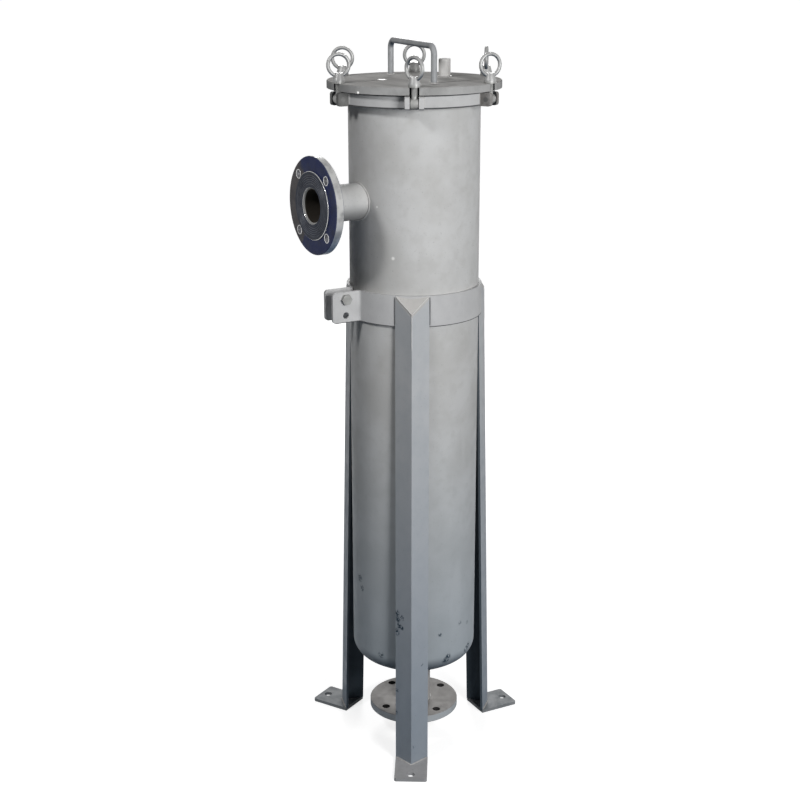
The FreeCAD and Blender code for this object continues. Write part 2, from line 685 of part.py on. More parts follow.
def make_basket():
    """The perforated basket: tube with rows of windows, rim, floor and bail."""
    outer, inner = S["basket_od"] / 2, S["basket_od"] / 2 - S["basket_wall"]
    floor_top = S["basket_bottom"] + S["basket_wall"]
    tube = ring("basket_tube", outer, inner, floor_top, RIM_BOTTOM)
    side = sketch_on(tube, "YZ_Plane")
    rows = int(S["window_rows"].value)
    middle = (floor_top + SEAT_TOP - S["seat_thick"]) / 2
    for row in range(rows):
        centre = middle + S["window_pitch"] * (row - (rows - 1) / 2)
        window(side, centre)
    around(tube, pocket(tube, side, reverse=True), S["window_columns"])
    ring("basket_rim", RIM_R, inner, RIM_BOTTOM, RIM_TOP)
    floor = body("basket_floor")
    pad(floor, circle(sketch_on(floor, "XY_Plane", S["basket_bottom"]), 0, 0, outer), S["basket_wall"])
    flat = sketch_on(floor, "XY_Plane", S["basket_bottom"])
    hole = circle(flat, S["floor_circle"] / 2, 0, S["floor_hole"] / 2)
    around(floor, pocket(floor, hole, reverse=True), S["floor_holes"])
    make_bail()


def window(sketch, level):
    """Add one upright window with rounded corners to a sketch that may hold others."""
    half, tall, bend = S["window_width"] / 2, S["window_height"] / 2, S["window_corner"]
    first = sketch.GeometryCount
    points = [(-half + bend, level - tall), (half - bend, level - tall), (half, level - tall + bend),
              (half, level + tall - bend), (half - bend, level + tall), (-half + bend, level + tall),
              (-half, level + tall - bend), (-half, level - tall + bend)]
    count = len(points)
    spots = [Vector(Size.of(px).value, Size.of(py).value, 0) for px, py in points]
    for index in range(count):
        start, end = spots[index], spots[(index + 1) % count]
        if index % 2:
            made = sketch.addGeometry(arc_between(start, end, bend.value), False)
            tie = sketch.addConstraint(Sketcher.Constraint("Radius", made, bend.value))
            sketch.setExpression(f"Constraints[{tie}]", bend.text)
        else:
            sketch.addGeometry(Part.LineSegment(start, end), False)
    for index in range(count):
        fix_point(sketch, first + index, 1, points[index])
        following = first + (index + 1) % count
        sketch.addConstraint(Sketcher.Constraint("Coincident", first + index, 2, following, 1))


def make_bail():
    """The basket's bail, a bent bar that stands on the rim outside the bag's ring."""
    bail = body("basket_bail")
    half = RIM_R - S["bail_bar"] / 2
    high, bend = S["bail_height"] - S["bail_bar"] / 2, S["bail_bend"]
    path = sketch_on(bail, "XZ_Plane")
    points = [(-half, ZERO), (-half, high - bend), (-half + bend, high), (half - bend, high),
              (half, high - bend), (half, ZERO)]
    outline(path, points, {1: -bend, 3: -bend}, closed=False)
    bend_bar(bail, path, S["bail_bar"], -half)
    turn(bail, S["handle_turn"], level=RIM_TOP)


def make_bag():
    """The filter bag, a closed-ended felt sleeve, and the ring that holds its mouth on the rim."""
    bag = body("filter_bag")
    outer = S["basket_od"] / 2 - S["basket_wall"] - S["bag_gap"]
    inner = outer - S["bag_wall"]
    low = S["basket_bottom"] + S["basket_wall"] + S["bag_gap"]
    points = [(ZERO, low), (outer, low), (outer, RIM_TOP), (inner, RIM_TOP), (inner, low + S["bag_wall"]),
              (ZERO, low + S["bag_wall"])]
    revolve(bag, outline(sketch_on(bag, "XZ_Plane"), points))
    ring_outer = RIM_R - S["bail_bar"] - S["bag_gap"]
    ring("bag_ring", ring_outer, inner, RIM_TOP, RIM_TOP + S["bag_ring_height"])


def make_band():
    """The clamp band: one strip bent round the shell, with two ears turned out, two holes in each."""
    band = body("clamp_band")
    slit, outside = S["band_slit"] / 2, S["band_slit"] / 2 + S["band_thick"]
    far = S["band_ear"]
    inner_x = root(BAND_INNER * BAND_INNER - slit * slit)
    outer_x = root(BAND_OUTER * BAND_OUTER - outside * outside)
    back_in, back_out = (-BAND_INNER, ZERO), (-BAND_OUTER, ZERO)
    points = [(far, slit), (far, outside), (outer_x, outside), (ZERO, BAND_OUTER), back_out,
              (ZERO, -BAND_OUTER), (outer_x, -outside), (far, -outside), (far, -slit), (inner_x, -slit),
              (ZERO, -BAND_INNER), back_in, (ZERO, BAND_INNER), (inner_x, slit)]
    arcs = {2: BAND_OUTER, 3: BAND_OUTER, 4: BAND_OUTER, 5: BAND_OUTER,
            9: -BAND_INNER, 10: -BAND_INNER, 11: -BAND_INNER, 12: -BAND_INNER}
    strip = pad(band, outline(sketch_on(band, "XY_Plane", BAND_BOTTOM), points, arcs), S["band_height"])

    def upright_at(spot_x, spot_y):
        def test(edge):
            middle = edge.CenterOfMass
            upright = abs(edge.BoundBox.ZLength - S["band_height"].value) < 0.01
            return upright and abs(middle.x - spot_x.value) < 0.01 and abs(abs(middle.y) - spot_y.value) < 0.01
        return test

    bends = soften(band, "Fillet", strip, upright_at(outer_x, outside), S["band_bend"], "Radius")
    rolls = soften(band, "Fillet", bends, upright_at(inner_x, slit), S["band_bend"] + S["band_thick"], "Radius")

    def ear_corner(edge):
        middle = edge.CenterOfMass
        across = abs(edge.BoundBox.YLength - S["band_thick"].value) < 0.01 and edge.BoundBox.ZLength < 0.01
        return across and abs(middle.x - far.value) < 0.01

    corners = soften(band, "Fillet", rolls, ear_corner, S["band_ear_corner"], "Radius")
    band.Tip = corners
    holes = sketch_on(band, "XZ_Plane")
    middle = BAND_BOTTOM + S["band_height"] / 2
    for level in (middle - S["clamp_pitch"] / 2, middle + S["clamp_pitch"] / 2):
        circle(holes, S["clamp_reach"], level, S["clamp_hole"] / 2)
    band.Tip = pocket(band, holes, symmetric=True)
    turn(band, S["band_turn"])


def hexagon(sketch, flats):
    """A hexagon about the sketch's origin, by its width across flats."""
    corner = flats / math.sqrt(3)
    points = [(corner * math.cos(math.radians(60 * side)), corner * math.sin(math.radians(60 * side)))
              for side in range(6)]
    return outline(sketch, points)


def make_clamp_screw():
    """The clamp bolt through the upper holes of both ears, and its nut on the far ear."""
    half = S["band_slit"] / 2 + S["band_thick"]
    level = BAND_BOTTOM + S["band_height"] / 2 + S["clamp_pitch"] / 2
    turned = S["band_turn"]
    bolt = body("clamp_bolt")
    pad(bolt, hexagon(sketch_on(bolt, "XZ_Plane", -half), S["clamp_flats"]), S["clamp_head"], reverse=True)
    shank = circle(sketch_on(bolt, "XZ_Plane", -half), 0, 0, S["clamp_size"] / 2)
    pad(bolt, shank, half * 2 + S["clamp_nut_height"] + S["clamp_stub"])
    turn(bolt, turned, along=S["clamp_reach"], level=level)
    nut = body("clamp_nut")
    blank = hexagon(sketch_on(nut, "XZ_Plane", half), S["clamp_flats"])
    circle(blank, 0, 0, S["clamp_size"] / 2)
    pad(nut, blank, S["clamp_nut_height"])
    turn(nut, turned, along=S["clamp_reach"], level=level)


def leg_direction(number):
    return S["first_leg"] + number * 360 / LEG_COUNT


def angle_outline(sketch, ridge):
    """The angle section with its ridge outwards at the given distance along X."""
    reach, wall, bend = S["angle_flange"] / math.sqrt(2), S["angle_thick"] * math.sqrt(2), S["angle_root"]
    lip = S["angle_thick"] / math.sqrt(2)
    throat = ridge - wall
    cut = bend / math.sqrt(2)
    points = [(ridge, ZERO), (ridge - reach, reach), (ridge - reach - lip, reach - lip), (throat - cut, cut),
              (throat - cut, -cut), (ridge - reach - lip, lip - reach), (ridge - reach, -reach)]
    return outline(sketch, points)


def trim_to_band(owner):
    """Grind a piece to the clamp band's curve, between the floor and the band's top."""
    round_cut = circle(sketch_on(owner, "XY_Plane"), 0, 0, BAND_OUTER)
    return pocket(owner, round_cut, reverse=True)


def make_leg(number):
    """A leg of angle section that spreads towards the floor, with a mitred top."""
    leg = body(f"leg_{LEG_NAMES[number]}")
    foot = angle_outline(sketch_on(leg, "XY_Plane", S["foot_thick"]), S["leg_foot"])
    head = angle_outline(sketch_on(leg, "XY_Plane", S["band_top"]), LEG_TOP)
    loft = leg.newObject("PartDesign::AdditiveLoft", "Length")
    loft.Profile = (foot, [""])
    loft.Sections = [(head, [""])]
    loft.Ruled = True
    mitre = sketch_on(leg, "XZ_Plane")
    slope, start = S["mitre_drop"] / HALF_CHORD, LEG_TOP - HALF_CHORD
    high = S["band_top"] - cap_depth()
    past = S["foot_thick"]
    inside, outside, over = start - HALF_CHORD, LEG_TOP + past, S["band_top"] + HALF_CHORD
    outline(mitre, [(inside, high + slope * HALF_CHORD), (outside, high - slope * (HALF_CHORD + past)),
                    (outside, over), (inside, over)])
    pocket(leg, mitre, symmetric=True)
    leg.Tip = trim_to_band(leg)
    turn(leg, leg_direction(number))


def cap_depth():
    """Height of the cap plate measured upright through its slope."""
    slope = S["mitre_drop"] / HALF_CHORD
    return S["cap_thick"] * root(slope * slope + 1)


def make_cap(number):
    """The sloping three-cornered plate that closes a leg's mitred top."""
    cap = body(f"leg_cap_{LEG_NAMES[number]}")
    slope, start = S["mitre_drop"] / HALF_CHORD, LEG_TOP - HALF_CHORD
    top, deep = S["band_top"], cap_depth()
    low = top - S["mitre_drop"]
    side = outline(sketch_on(cap, "XZ_Plane"),
                   [(start, top), (start, top - deep), (LEG_TOP, low - deep), (LEG_TOP, low)])
    slab = pad(cap, side, HALF_CHORD * 2, symmetric=True)
    corner = sketch_on(cap, "XY_Plane")
    far = LEG_TOP + HALF_CHORD
    triangle(corner, [(LEG_TOP, ZERO), (far, HALF_CHORD * 2), (start - HALF_CHORD, HALF_CHORD * 2)])
    pocket(cap, corner, reverse=True)
    corner = sketch_on(cap, "XY_Plane")
    triangle(corner, [(LEG_TOP, ZERO), (start - HALF_CHORD, -HALF_CHORD * 2), (far, -HALF_CHORD * 2)])
    pocket(cap, corner, reverse=True)
    cap.Tip = trim_to_band(cap)
    slab.Label = f"slab_{LEG_NAMES[number]}"
    turn(cap, leg_direction(number))


def make_foot(number):
    """A foot plate from the leg's edges outwards, with one anchor hole."""
    foot = body(f"foot_plate_{LEG_NAMES[number]}")
    near, far, half, bend = S["leg_foot"] - HALF_CHORD, S["foot_reach"], S["foot_width"] / 2, S["foot_corner"]
    points = [(near, -half), (far - bend, -half), (far, -half + bend), (far, half - bend), (far - bend, half),
              (near, half)]
    flat = outline(sketch_on(foot, "XY_Plane"), points, {1: bend, 3: bend})
    circle(flat, S["anchor_circle"] / 2, 0, S["anchor_hole"] / 2)
    pad(foot, flat, S["foot_thick"])
    turn(foot, leg_direction(number))


def make_stand():
    make_band()
    make_clamp_screw()
    for number in range(LEG_COUNT):
        make_leg(number)
        make_cap(number)
        make_foot(number)


def make_vessel():
    make_shell()
    make_bottom_head()
    make_collar()
    make_seal()
    make_lid()
    make_handle()
    make_vent_socket()
    make_inlet()
    make_outlet()
    ring("basket_seat", SHELL_R - S["shell_wall"], S["seat_bore"] / 2, S["seat_level"], SEAT_TOP)
    make_pins()


def make_closures():
    for number in range(BOLT_COUNT):
        make_lug(number)
        make_swing_bolt(number)
        make_washer(number)
        make_eye_nut(number)


def check_and_write():
    """Stop on any failed object or bad shape, then write each sub-part to its own file."""
    DOC.recompute()
    failed = [item.Label for item in DOC.Objects if {"Invalid", "Error"} & set(item.State)]
    if failed:
        raise RuntimeError(f"failed objects: {failed}")
    for item in PARTS:
        shape = item.Shape
        if shape.isNull() or not shape.isValid() or not shape.Solids:
            raise RuntimeError(f"bad shape: {item.Label}")
    os.makedirs("parts", exist_ok=True)
    for item in PARTS:
        item.Shape.exportStep(os.path.join("parts", f"{item.Label}.step"))
        print(f"{item.Label}: {len(item.Shape.Solids)} solids, {item.Shape.Volume:.0f} mm3")


make_stand()
make_vessel()
make_basket()
make_bag()
make_closures()
check_and_write()
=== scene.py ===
"""Looks, light and camera of the bag filter housing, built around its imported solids.

Metres, +Z up, origin on the floor under the vessel's axis, inlet nozzle along -X.
"""

import logging
import math
from dataclasses import dataclass
from enum import Enum
from typing import Callable, Iterable

import bmesh
import bpy
from mathutils import Matrix, Vector


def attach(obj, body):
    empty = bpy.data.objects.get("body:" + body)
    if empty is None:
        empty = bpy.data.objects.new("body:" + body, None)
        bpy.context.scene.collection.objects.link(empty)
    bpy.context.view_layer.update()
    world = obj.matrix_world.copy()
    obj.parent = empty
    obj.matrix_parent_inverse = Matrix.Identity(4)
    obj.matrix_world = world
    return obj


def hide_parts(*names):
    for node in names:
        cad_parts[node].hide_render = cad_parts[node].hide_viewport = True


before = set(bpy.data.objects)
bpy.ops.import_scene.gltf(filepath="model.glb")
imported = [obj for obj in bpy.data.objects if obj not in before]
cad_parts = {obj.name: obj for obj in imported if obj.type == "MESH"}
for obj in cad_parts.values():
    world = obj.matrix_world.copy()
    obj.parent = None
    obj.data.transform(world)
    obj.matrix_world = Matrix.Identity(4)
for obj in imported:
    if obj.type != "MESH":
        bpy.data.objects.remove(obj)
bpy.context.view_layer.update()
LOG = logging.getLogger("bag_filter_housing")

Colour = tuple[float, float, float]
Point = tuple[float, float, float]
Range = tuple[float, float]
Input = bpy.types.NodeSocket | float | tuple

UP: Point = (0.0, 0.0, 1.0)
DOWN: Point = (0.0, 0.0, -1.0)
ORIGIN: Point = (0.0, 0.0, 0.0)
WAVE_RADIANS = 20.0
NOISE_SPAN: Range = (0.3, 0.7)

SHELL_RADIUS = 0.10955
INLET_CENTRE: Point = (0.0, 0.0, 0.9887)
PIPE_BORE = 0.0274
RAISED_FACE = 0.055
COLLAR_LOW = 1.1455
COLLAR_HIGH = 1.1665
THREAD_FROM = 1.166
LUG_SLOT = 0.0071
LID_SLOT = 0.0076
FIRST_BOLT = 58.0
BOLT_STEP = 60.0
BOLTS = range(1, 7)

BAND_LOW = 0.790
# Height of the painted shadow line along the band's lower edge.
BAND_SHADOW_LINE = 0.7902
BAND_TOP = 0.842
PLATE_TOP = 0.006
LEG_FOOT = 0.1605
LEG_HEAD = 0.13899
FIRST_LEG = 116.5
LEG_STEP = 120.0
LEGS = ("back_left", "front", "right")


class Axis(Enum):
    """The row axes, as the letters that Blender's nodes use."""

    X = "X"
    Y = "Y"
    Z = "Z"


class Tree:
    """A node tree, with short calls that add nodes and join them."""

    def __init__(self, tree: bpy.types.NodeTree) -> None:
        """Hold a tree.

        Args:
            tree: The material's or the world's node tree.
        """
        self.tree = tree

    def add(self, kind: str, inputs: dict[str | int, Input] | None = None,
            **settings: object) -> bpy.types.Node:
        """Add a node.

        Args:
            kind: The node's type name.
            inputs: Values or output sockets, by input name or number.
            **settings: The node's own properties.

        Returns:
            The new node.
        """
        node = self.tree.nodes.new(kind)
        for key, value in settings.items():
            setattr(node, key, value)
        for key, value in (inputs or {}).items():
            self.feed(node.inputs[key], value)
        return node

    def feed(self, socket: bpy.types.NodeSocket, value: Input) -> None:
        """Set a socket to a value, or join it to another socket.

        Args:
            socket: The input to set.
            value: A number, a tuple, or an output socket.
        """
        if isinstance(value, bpy.types.NodeSocket):
            self.tree.links.new(value, socket)
        elif isinstance(value, tuple) and len(value) == 3 and len(socket.default_value) == 4:
            socket.default_value = (*value, 1.0)
        else:
            socket.default_value = value

    def math(self, operation: str, first: Input, second: Input = 0.0) -> bpy.types.NodeSocket:
        """Join two numbers by an operation.

        Args:
            operation: Blender's name of the operation.
            first: The first number.
            second: The second number.

        Returns:
            The result's socket.
        """
        return self.add("ShaderNodeMath", {0: first, 1: second}, operation=operation).outputs[0]


class Graph(Tree):
    """A material with a principled shader, and patterns on the piece's own coordinates."""

    def __init__(self, name: str) -> None:
        """Start the material.

        Args:
            name: The material's name.
        """
        self.material = bpy.data.materials.new(name)
        self.material.use_nodes = True
        super().__init__(self.material.node_tree)
        self.shader = self.tree.nodes["Principled BSDF"]
        self.place = self.add("ShaderNodeTexCoord").outputs["Object"]

    def surface(self, inputs: dict[str, Input]) -> None:
        """Set or join the shader's own inputs, by name."""
        for name, value in inputs.items():
            self.feed(self.shader.inputs[name], value)

    def vector(self, operation: str, first: Input, second: Input = ORIGIN) -> bpy.types.Node:
        """Join two vectors by an operation and return the node, which has a vector and a number to read."""
        return self.add("ShaderNodeVectorMath", {0: first, 1: second}, operation=operation)

    def noise(self, scale: float, detail: float = 3.0,
              stretch: Point = (1.0, 1.0, 1.0)) -> bpy.types.NodeSocket:
        """A cloud pattern on the piece's own coordinates.

        Args:
            scale: Clouds per metre.
            detail: Octaves of finer clouds.
            stretch: Factors on the three axes.

        Returns:
            The pattern's socket, about 0.5 on average.
        """
        place = self.place
        if stretch != (1.0, 1.0, 1.0):
            place = self.vector("MULTIPLY", place, stretch).outputs[0]
        node = self.add("ShaderNodeTexNoise", {"Vector": place, "Scale": scale, "Detail": detail})
        return node.outputs["Fac"]

    def ramp(self, value: Input, low: float, high: float, out_low: float = 0.0,
             out_high: float = 1.0) -> bpy.types.NodeSocket:
        """Map a number smoothly from one range to another, held at the ends.

        Args:
            value: The number.
            low: Where the output starts to change.
            high: Where the output stops changing.
            out_low: Output at and below low.
            out_high: Output at and above high.

        Returns:
            The result's socket.
        """
        inputs = {"Value": value, "From Min": low, "From Max": high, "To Min": out_low, "To Max": out_high}
        return self.add("ShaderNodeMapRange", inputs, interpolation_type="SMOOTHSTEP").outputs["Result"]

    def mix(self, share: Input, first: Input, second: Input) -> bpy.types.NodeSocket:
        """Mix two colours.

        Args:
            share: 0 gives the first colour and 1 the second.
            first: A colour or its socket.
            second: A colour or its socket.

        Returns:
            The mixed colour's socket.
        """
        node = self.add("ShaderNodeMix", data_type="RGBA")
        self.feed(node.inputs[0], share)
        self.feed(node.inputs[6], first)
        self.feed(node.inputs[7], second)
        return node.outputs[2]

    def uneven(self, middle: float, spread: Range, scale: float, detail: float) -> bpy.types.NodeSocket:
        """A number that wanders about its middle in clouds.

        Args:
            middle: The number's middle.
            spread: The ends of its way, measured from the middle.
            scale: Clouds per metre.
            detail: Octaves of finer clouds.

        Returns:
            The number's socket.
        """
        low, high = (middle + end for end in spread)
        return self.ramp(self.noise(scale, detail), *NOISE_SPAN, low, high)

    def bump(self, height: Input, depth: float, strength: float = 1.0) -> None:
        """Press a height pattern into the shader's normal, on top of any earlier one.

        Args:
            height: The pattern, 0 to 1.
            depth: Metres from 0 to 1.
            strength: Share of the effect.
        """
        node = self.add("ShaderNodeBump", {"Height": height, "Distance": depth, "Strength": strength})
        normal = self.shader.inputs["Normal"]
        if normal.is_linked:
            self.feed(node.inputs["Normal"], normal.links[0].from_socket)
        self.feed(normal, node.outputs["Normal"])

    def bands(self, pitch: float) -> bpy.types.NodeSocket:
        """Bands across the Z axis, one for each pitch in metres."""
        inputs = {"Vector": self.place, "Scale": 2.0 * math.pi / (WAVE_RADIANS * pitch)}
        return self.add("ShaderNodeTexWave", inputs, wave_type="BANDS", bands_direction="Z").outputs["Fac"]

    def part(self, letter: str) -> bpy.types.NodeSocket:
        """One coordinate of the piece, by its letter."""
        return self.add("ShaderNodeSeparateXYZ", {0: self.place}).outputs[letter]

    def off_axis(self, axis: Axis, centre: Point) -> bpy.types.NodeSocket:
        """Distance from a line along an axis.

        Args:
            axis: The line's direction.
            centre: A point on the line.

        Returns:
            The distance's socket, in metres.
        """
        local = self.vector("SUBTRACT", self.place, centre).outputs[0]
        flat = self.vector("MULTIPLY", local, flattened(axis)).outputs[0]
        return self.vector("LENGTH", flat).outputs["Value"]

    def facing(self, direction: Input) -> bpy.types.NodeSocket:
        """How far the surface faces a direction, from -1 to 1."""
        normal = self.add("ShaderNodeNewGeometry").outputs["Normal"]
        return self.vector("DOT_PRODUCT", normal, direction).outputs["Value"]


def flattened(axis: Axis) -> Point:
    """Factors that drop the coordinate along an axis."""
    return tuple(0.0 if other is axis else 1.0 for other in Axis)


def scaled(colour: Colour, factor: float, lift: float = 0.0) -> Colour:
    """A colour made brighter or darker, held at white."""
    return tuple(min(1.0, part * factor + lift) for part in colour)


def turned(angle: float) -> Matrix:
    """A turn about the vessel's axis by an angle in degrees."""
    return Matrix.Rotation(math.radians(angle), 4, "Z")


def at(along: float, across: float = 0.0, level: float = 0.0, direction: float = 0.0) -> Vector:
    """A point given in a frame turned about the vessel's axis.

    Args:
        along: Distance from the axis in the direction.
        across: Distance to the left of the direction.
        level: Height.
        direction: Degrees from +X.

    Returns:
        The point in the row frame.
    """
    return turned(direction) @ Vector((along, across, level))


def ridge_reach(level: float) -> float:
    """Distance of a leg's ridge from the vessel's axis at a height."""
    return LEG_FOOT + (LEG_HEAD - LEG_FOOT) * (level - PLATE_TOP) / (BAND_TOP - PLATE_TOP)


@dataclass(frozen=True)
class Scuff:
    """A dark mark rubbed into a surface, or a nick that bares the metal."""

    centre: Point
    reach: float
    strength: float = 0.9
    bright: bool = False


def shell_scuff(angle: float, level: float, reach: float, strength: float = 0.9,
                bright: bool = False) -> Scuff:
    """A mark on the shell.

    Args:
        angle: Its place round the shell, in degrees from +X.
        level: Its height.
        reach: Its radius.
        strength: How strongly it shows.
        bright: Whether it is a nick.

    Returns:
        The mark.
    """
    return Scuff(tuple(at(SHELL_RADIUS, 0.0, level, angle)), reach, strength, bright)


def leg_scuff(across: float, level: float, reach: float, strength: float = 1.0) -> Scuff:
    """A dark mark on the front leg.

    Args:
        across: Its distance to the left of the ridge, as seen from the vessel.
        level: Its height.
        reach: Its radius.
        strength: How strongly it shows.

    Returns:
        The mark.
    """
    direction = FIRST_LEG + LEG_STEP * LEGS.index("front")
    return Scuff(tuple(at(ridge_reach(level) - abs(across), across, level, direction)), reach, strength)


@dataclass(frozen=True)
class Bore:
    """The darker inside of a tube."""

    axis: Axis
    centre: Point
    radius: float
    colour: Colour


@dataclass(frozen=True)
class Blasted:
    """Bead-blasted stainless steel: matt, clouded, with fine grain and a few marks, and with painted shade
    and painted light where its fields ask for them.
    """

    name: str
    colour: Colour
    shade: Colour
    roughness: float = 0.6
    rough_scale: float = 60.0
    rough_spread: Range = (-0.07, 0.09)
    metallic: float = 0.05
    specular: float = 0.1
    clouds: float = 9.0
    cloud_share: float = 0.5
    cloud_range: Range = (0.38, 0.66)
    patches_per_cloud: float = 5.0
    patch_share: float = 0.6
    patch_range: Range = (0.45, 0.72)
    streak_scale: float = 26.0
    streak_share: float = 0.4
    streak_range: Range = (0.56, 0.74)
    streak_stretch: Point = (1.0, 1.0, 0.12)
    streak_gain: float = 1.15
    speck_scale: float = 420.0
    speck_share: float = 0.3
    speck_range: Range = (0.66, 0.74)
    speck_gain: float = 0.35
    # Painted shade: a darker, bluer colour towards the bottom, standing in for light that falls off downwards
    # and blue light bounced up from below.
    painted_foot_shade: Colour | None = None
    foot_height: float = 0.6
    foot_share: float = 0.75
    # Painted shade: a near-black colour on faces that turn towards the vessel's axis, where the vessel blocks
    # the light.
    painted_inner_shade: Colour | None = None
    inner_share: float = 0.85
    inner_range: Range = (-0.35, -0.1)
    # Painted light: a lighter colour on level tops that makes up for the low light grazing them, streaked by
    # the brushed marks below.
    painted_top_light: Colour | None = None
    top_share: float = 0.75
    top_range: Range = (0.7, 0.9)
    brush_scale: float = 24.0
    brush_stretch: Point = (1.0, 0.22, 1.0)
    brush_range: Range = (0.42, 0.62)
    brush_share: float = 0.55
    brush_gain: float = 0.62
    # Painted shade: a darker, bluish colour on faces that look down.
    painted_under_shade: float = 0.0
    under_range: Range = (-0.1, 0.75)
    painted_under_colour: Colour = (0.03, 0.05, 0.075)
    # Painted shade: half-width of the slots whose walls are darkened in the dark crevice colour.
    slot_half: float = 0.0
    slot_blur: float = 0.0002
    # Painted shadow: thin dark lines at these heights on upright faces, where one part's edge shades the
    # next.
    painted_shadow_lines: tuple[float, ...] = ()
    shadow_line_half: float = 0.0009
    shadow_line_core: float = 0.6
    shadow_line_share: float = 0.9
    # The near-black colour of the painted shade in slots and shadow lines.
    painted_crevice_shade: Colour = (0.030, 0.032, 0.035)
    scuffs: tuple[Scuff, ...] = ()
    scuff_scale: float = 330.0
    scuff_range: Range = (0.43, 0.52)
    scuff_core: float = 0.3
    scuff_colour: Colour = (0.012, 0.03, 0.05)
    nick_colour: Colour = (0.85, 0.85, 0.83)
    bore: Bore | None = None
    bore_blur: float = 0.0003
    grain_scale: float = 1500.0
    grain_depth: float = 0.0002
    dent_scale: float = 14.0
    dent_depth: float = 0.0012
    thread_pitch: float = 0.0
    thread_depth: float = 0.0006
    thread_fade: float = 0.001

    def material(self) -> bpy.types.Material:
        """Build the material.

        Returns:
            The new material.
        """
        graph = Graph(self.name)
        colour = self.shaded(graph, self.clouded(graph))
        fine = graph.noise(self.speck_scale, detail=2.0)
        specks = graph.ramp(fine, *self.speck_range, 0.0, self.speck_share)
        colour = graph.mix(specks, colour, scaled(self.shade, self.speck_gain))
        colour = self.scuffed(graph, colour)
        metallic = self.metallic
        if any(scuff.bright for scuff in self.scuffs):
            nicks = self.nicks(graph)
            colour = graph.mix(nicks, colour, self.nick_colour)
            metallic = graph.math("MAXIMUM", nicks, metallic)
        if self.bore:
            away = graph.off_axis(self.bore.axis, self.bore.centre)
            inside = graph.ramp(away, self.bore.radius, self.bore.radius + self.bore_blur, 1.0, 0.0)
            colour = graph.mix(inside, colour, self.bore.colour)
        rough = graph.uneven(self.roughness, self.rough_spread, self.rough_scale, detail=5.0)
        graph.surface({"Base Color": colour, "Metallic": metallic, "Specular IOR Level": self.specular,
                       "Roughness": rough})
        graph.bump(graph.noise(self.grain_scale, detail=2.0), self.grain_depth, strength=0.35)
        graph.bump(graph.noise(self.dent_scale, detail=3.0), self.dent_depth, strength=0.2)
        if self.thread_pitch:
            above = graph.ramp(graph.part("Z"), THREAD_FROM, THREAD_FROM + self.thread_fade)
            turns = graph.math("MULTIPLY", graph.bands(self.thread_pitch), above)
            graph.bump(turns, self.thread_depth, strength=0.8)
        return graph.material

    def clouded(self, graph: Graph) -> Input:
        """Mix the broad clouds, the finer patches and the streaks.

        Args:
            graph: The material's graph.

        Returns:
            The colour's socket.
        """
        broad = graph.noise(self.clouds, detail=4.0)
        clouds = graph.ramp(broad, *self.cloud_range, 0.0, self.cloud_share)
        finer = graph.noise(self.clouds * self.patches_per_cloud, detail=6.0)
        patches = graph.ramp(finer, *self.patch_range, 0.0, self.cloud_share * self.patch_share)
        upright = graph.noise(self.streak_scale, 5.0, self.streak_stretch)
        streaks = graph.ramp(upright, *self.streak_range, 0.0, self.streak_share)
        colour = graph.mix(clouds, self.colour, self.shade)
        colour = graph.mix(patches, colour, self.shade)
        return graph.mix(streaks, colour, scaled(self.colour, self.streak_gain))

    def shaded(self, graph: Graph, colour: Input) -> Input:
        """Paint shade and light into the colour: painted shade towards the bottom, on inner faces and on
        undersides, painted light on level tops, and painted shade in the slots and as thin shadow lines at
        given heights.

        Args:
            graph: The material's graph.
            colour: The colour so far.

        Returns:
            The shaded colour.
        """
        # Painted shade: blend towards the darker, bluer colour towards the bottom.
        if self.painted_foot_shade:
            low = graph.ramp(graph.part("Z"), 0.0, self.foot_height, self.foot_share, 0.0)
            colour = graph.mix(low, colour, self.painted_foot_shade)
        # Painted shade on faces that turn towards the axis, such as the legs' inner faces.
        if self.painted_inner_shade:
            flat = graph.vector("MULTIPLY", graph.place, flattened(Axis.Z)).outputs[0]
            outwards = graph.vector("NORMALIZE", flat).outputs[0]
            inner = graph.ramp(graph.facing(outwards), *self.inner_range, self.inner_share, 0.0)
            colour = graph.mix(inner, colour, self.painted_inner_shade)
        # Painted light: level tops take the lighter, brush-streaked top colour.
        if self.painted_top_light:
            brushed = graph.noise(self.brush_scale, 6.0, self.brush_stretch)
            streaks = graph.ramp(brushed, *self.brush_range, 0.0, self.brush_share)
            top = graph.mix(streaks, self.painted_top_light, scaled(self.painted_top_light, self.brush_gain))
            level = graph.ramp(graph.facing(UP), *self.top_range, 0.0, self.top_share)
            colour = graph.mix(level, colour, top)
        # Painted shade on faces that look down.
        if self.painted_under_shade:
            under = graph.ramp(graph.facing(DOWN), *self.under_range, 0.0, self.painted_under_shade)
            colour = graph.mix(under, colour, self.painted_under_colour)
        # Painted shade on the walls of the slots where the bolts swing.
        if self.slot_half:
            colour = graph.mix(self.painted_slot_shade(graph), colour, self.painted_crevice_shade)
        # Painted shadow: a thin dark line on upright faces at each height, standing in for the contact shadow
        # where parts meet.
        for height in self.painted_shadow_lines:
            away = graph.math("ABSOLUTE", graph.math("SUBTRACT", graph.part("Z"), height))
            near = graph.ramp(away, self.shadow_line_half * self.shadow_line_core, self.shadow_line_half, self.shadow_line_share, 0.0)
            colour = graph.mix(graph.math("MULTIPLY", near, self.upright(graph)), colour, self.painted_crevice_shade)
        return colour

    def upright(self, graph: Graph) -> bpy.types.NodeSocket:
        """1 on upright faces and 0 on level ones."""
        return graph.ramp(graph.math("ABSOLUTE", graph.facing(UP)), 0.5, 0.8, 1.0, 0.0)

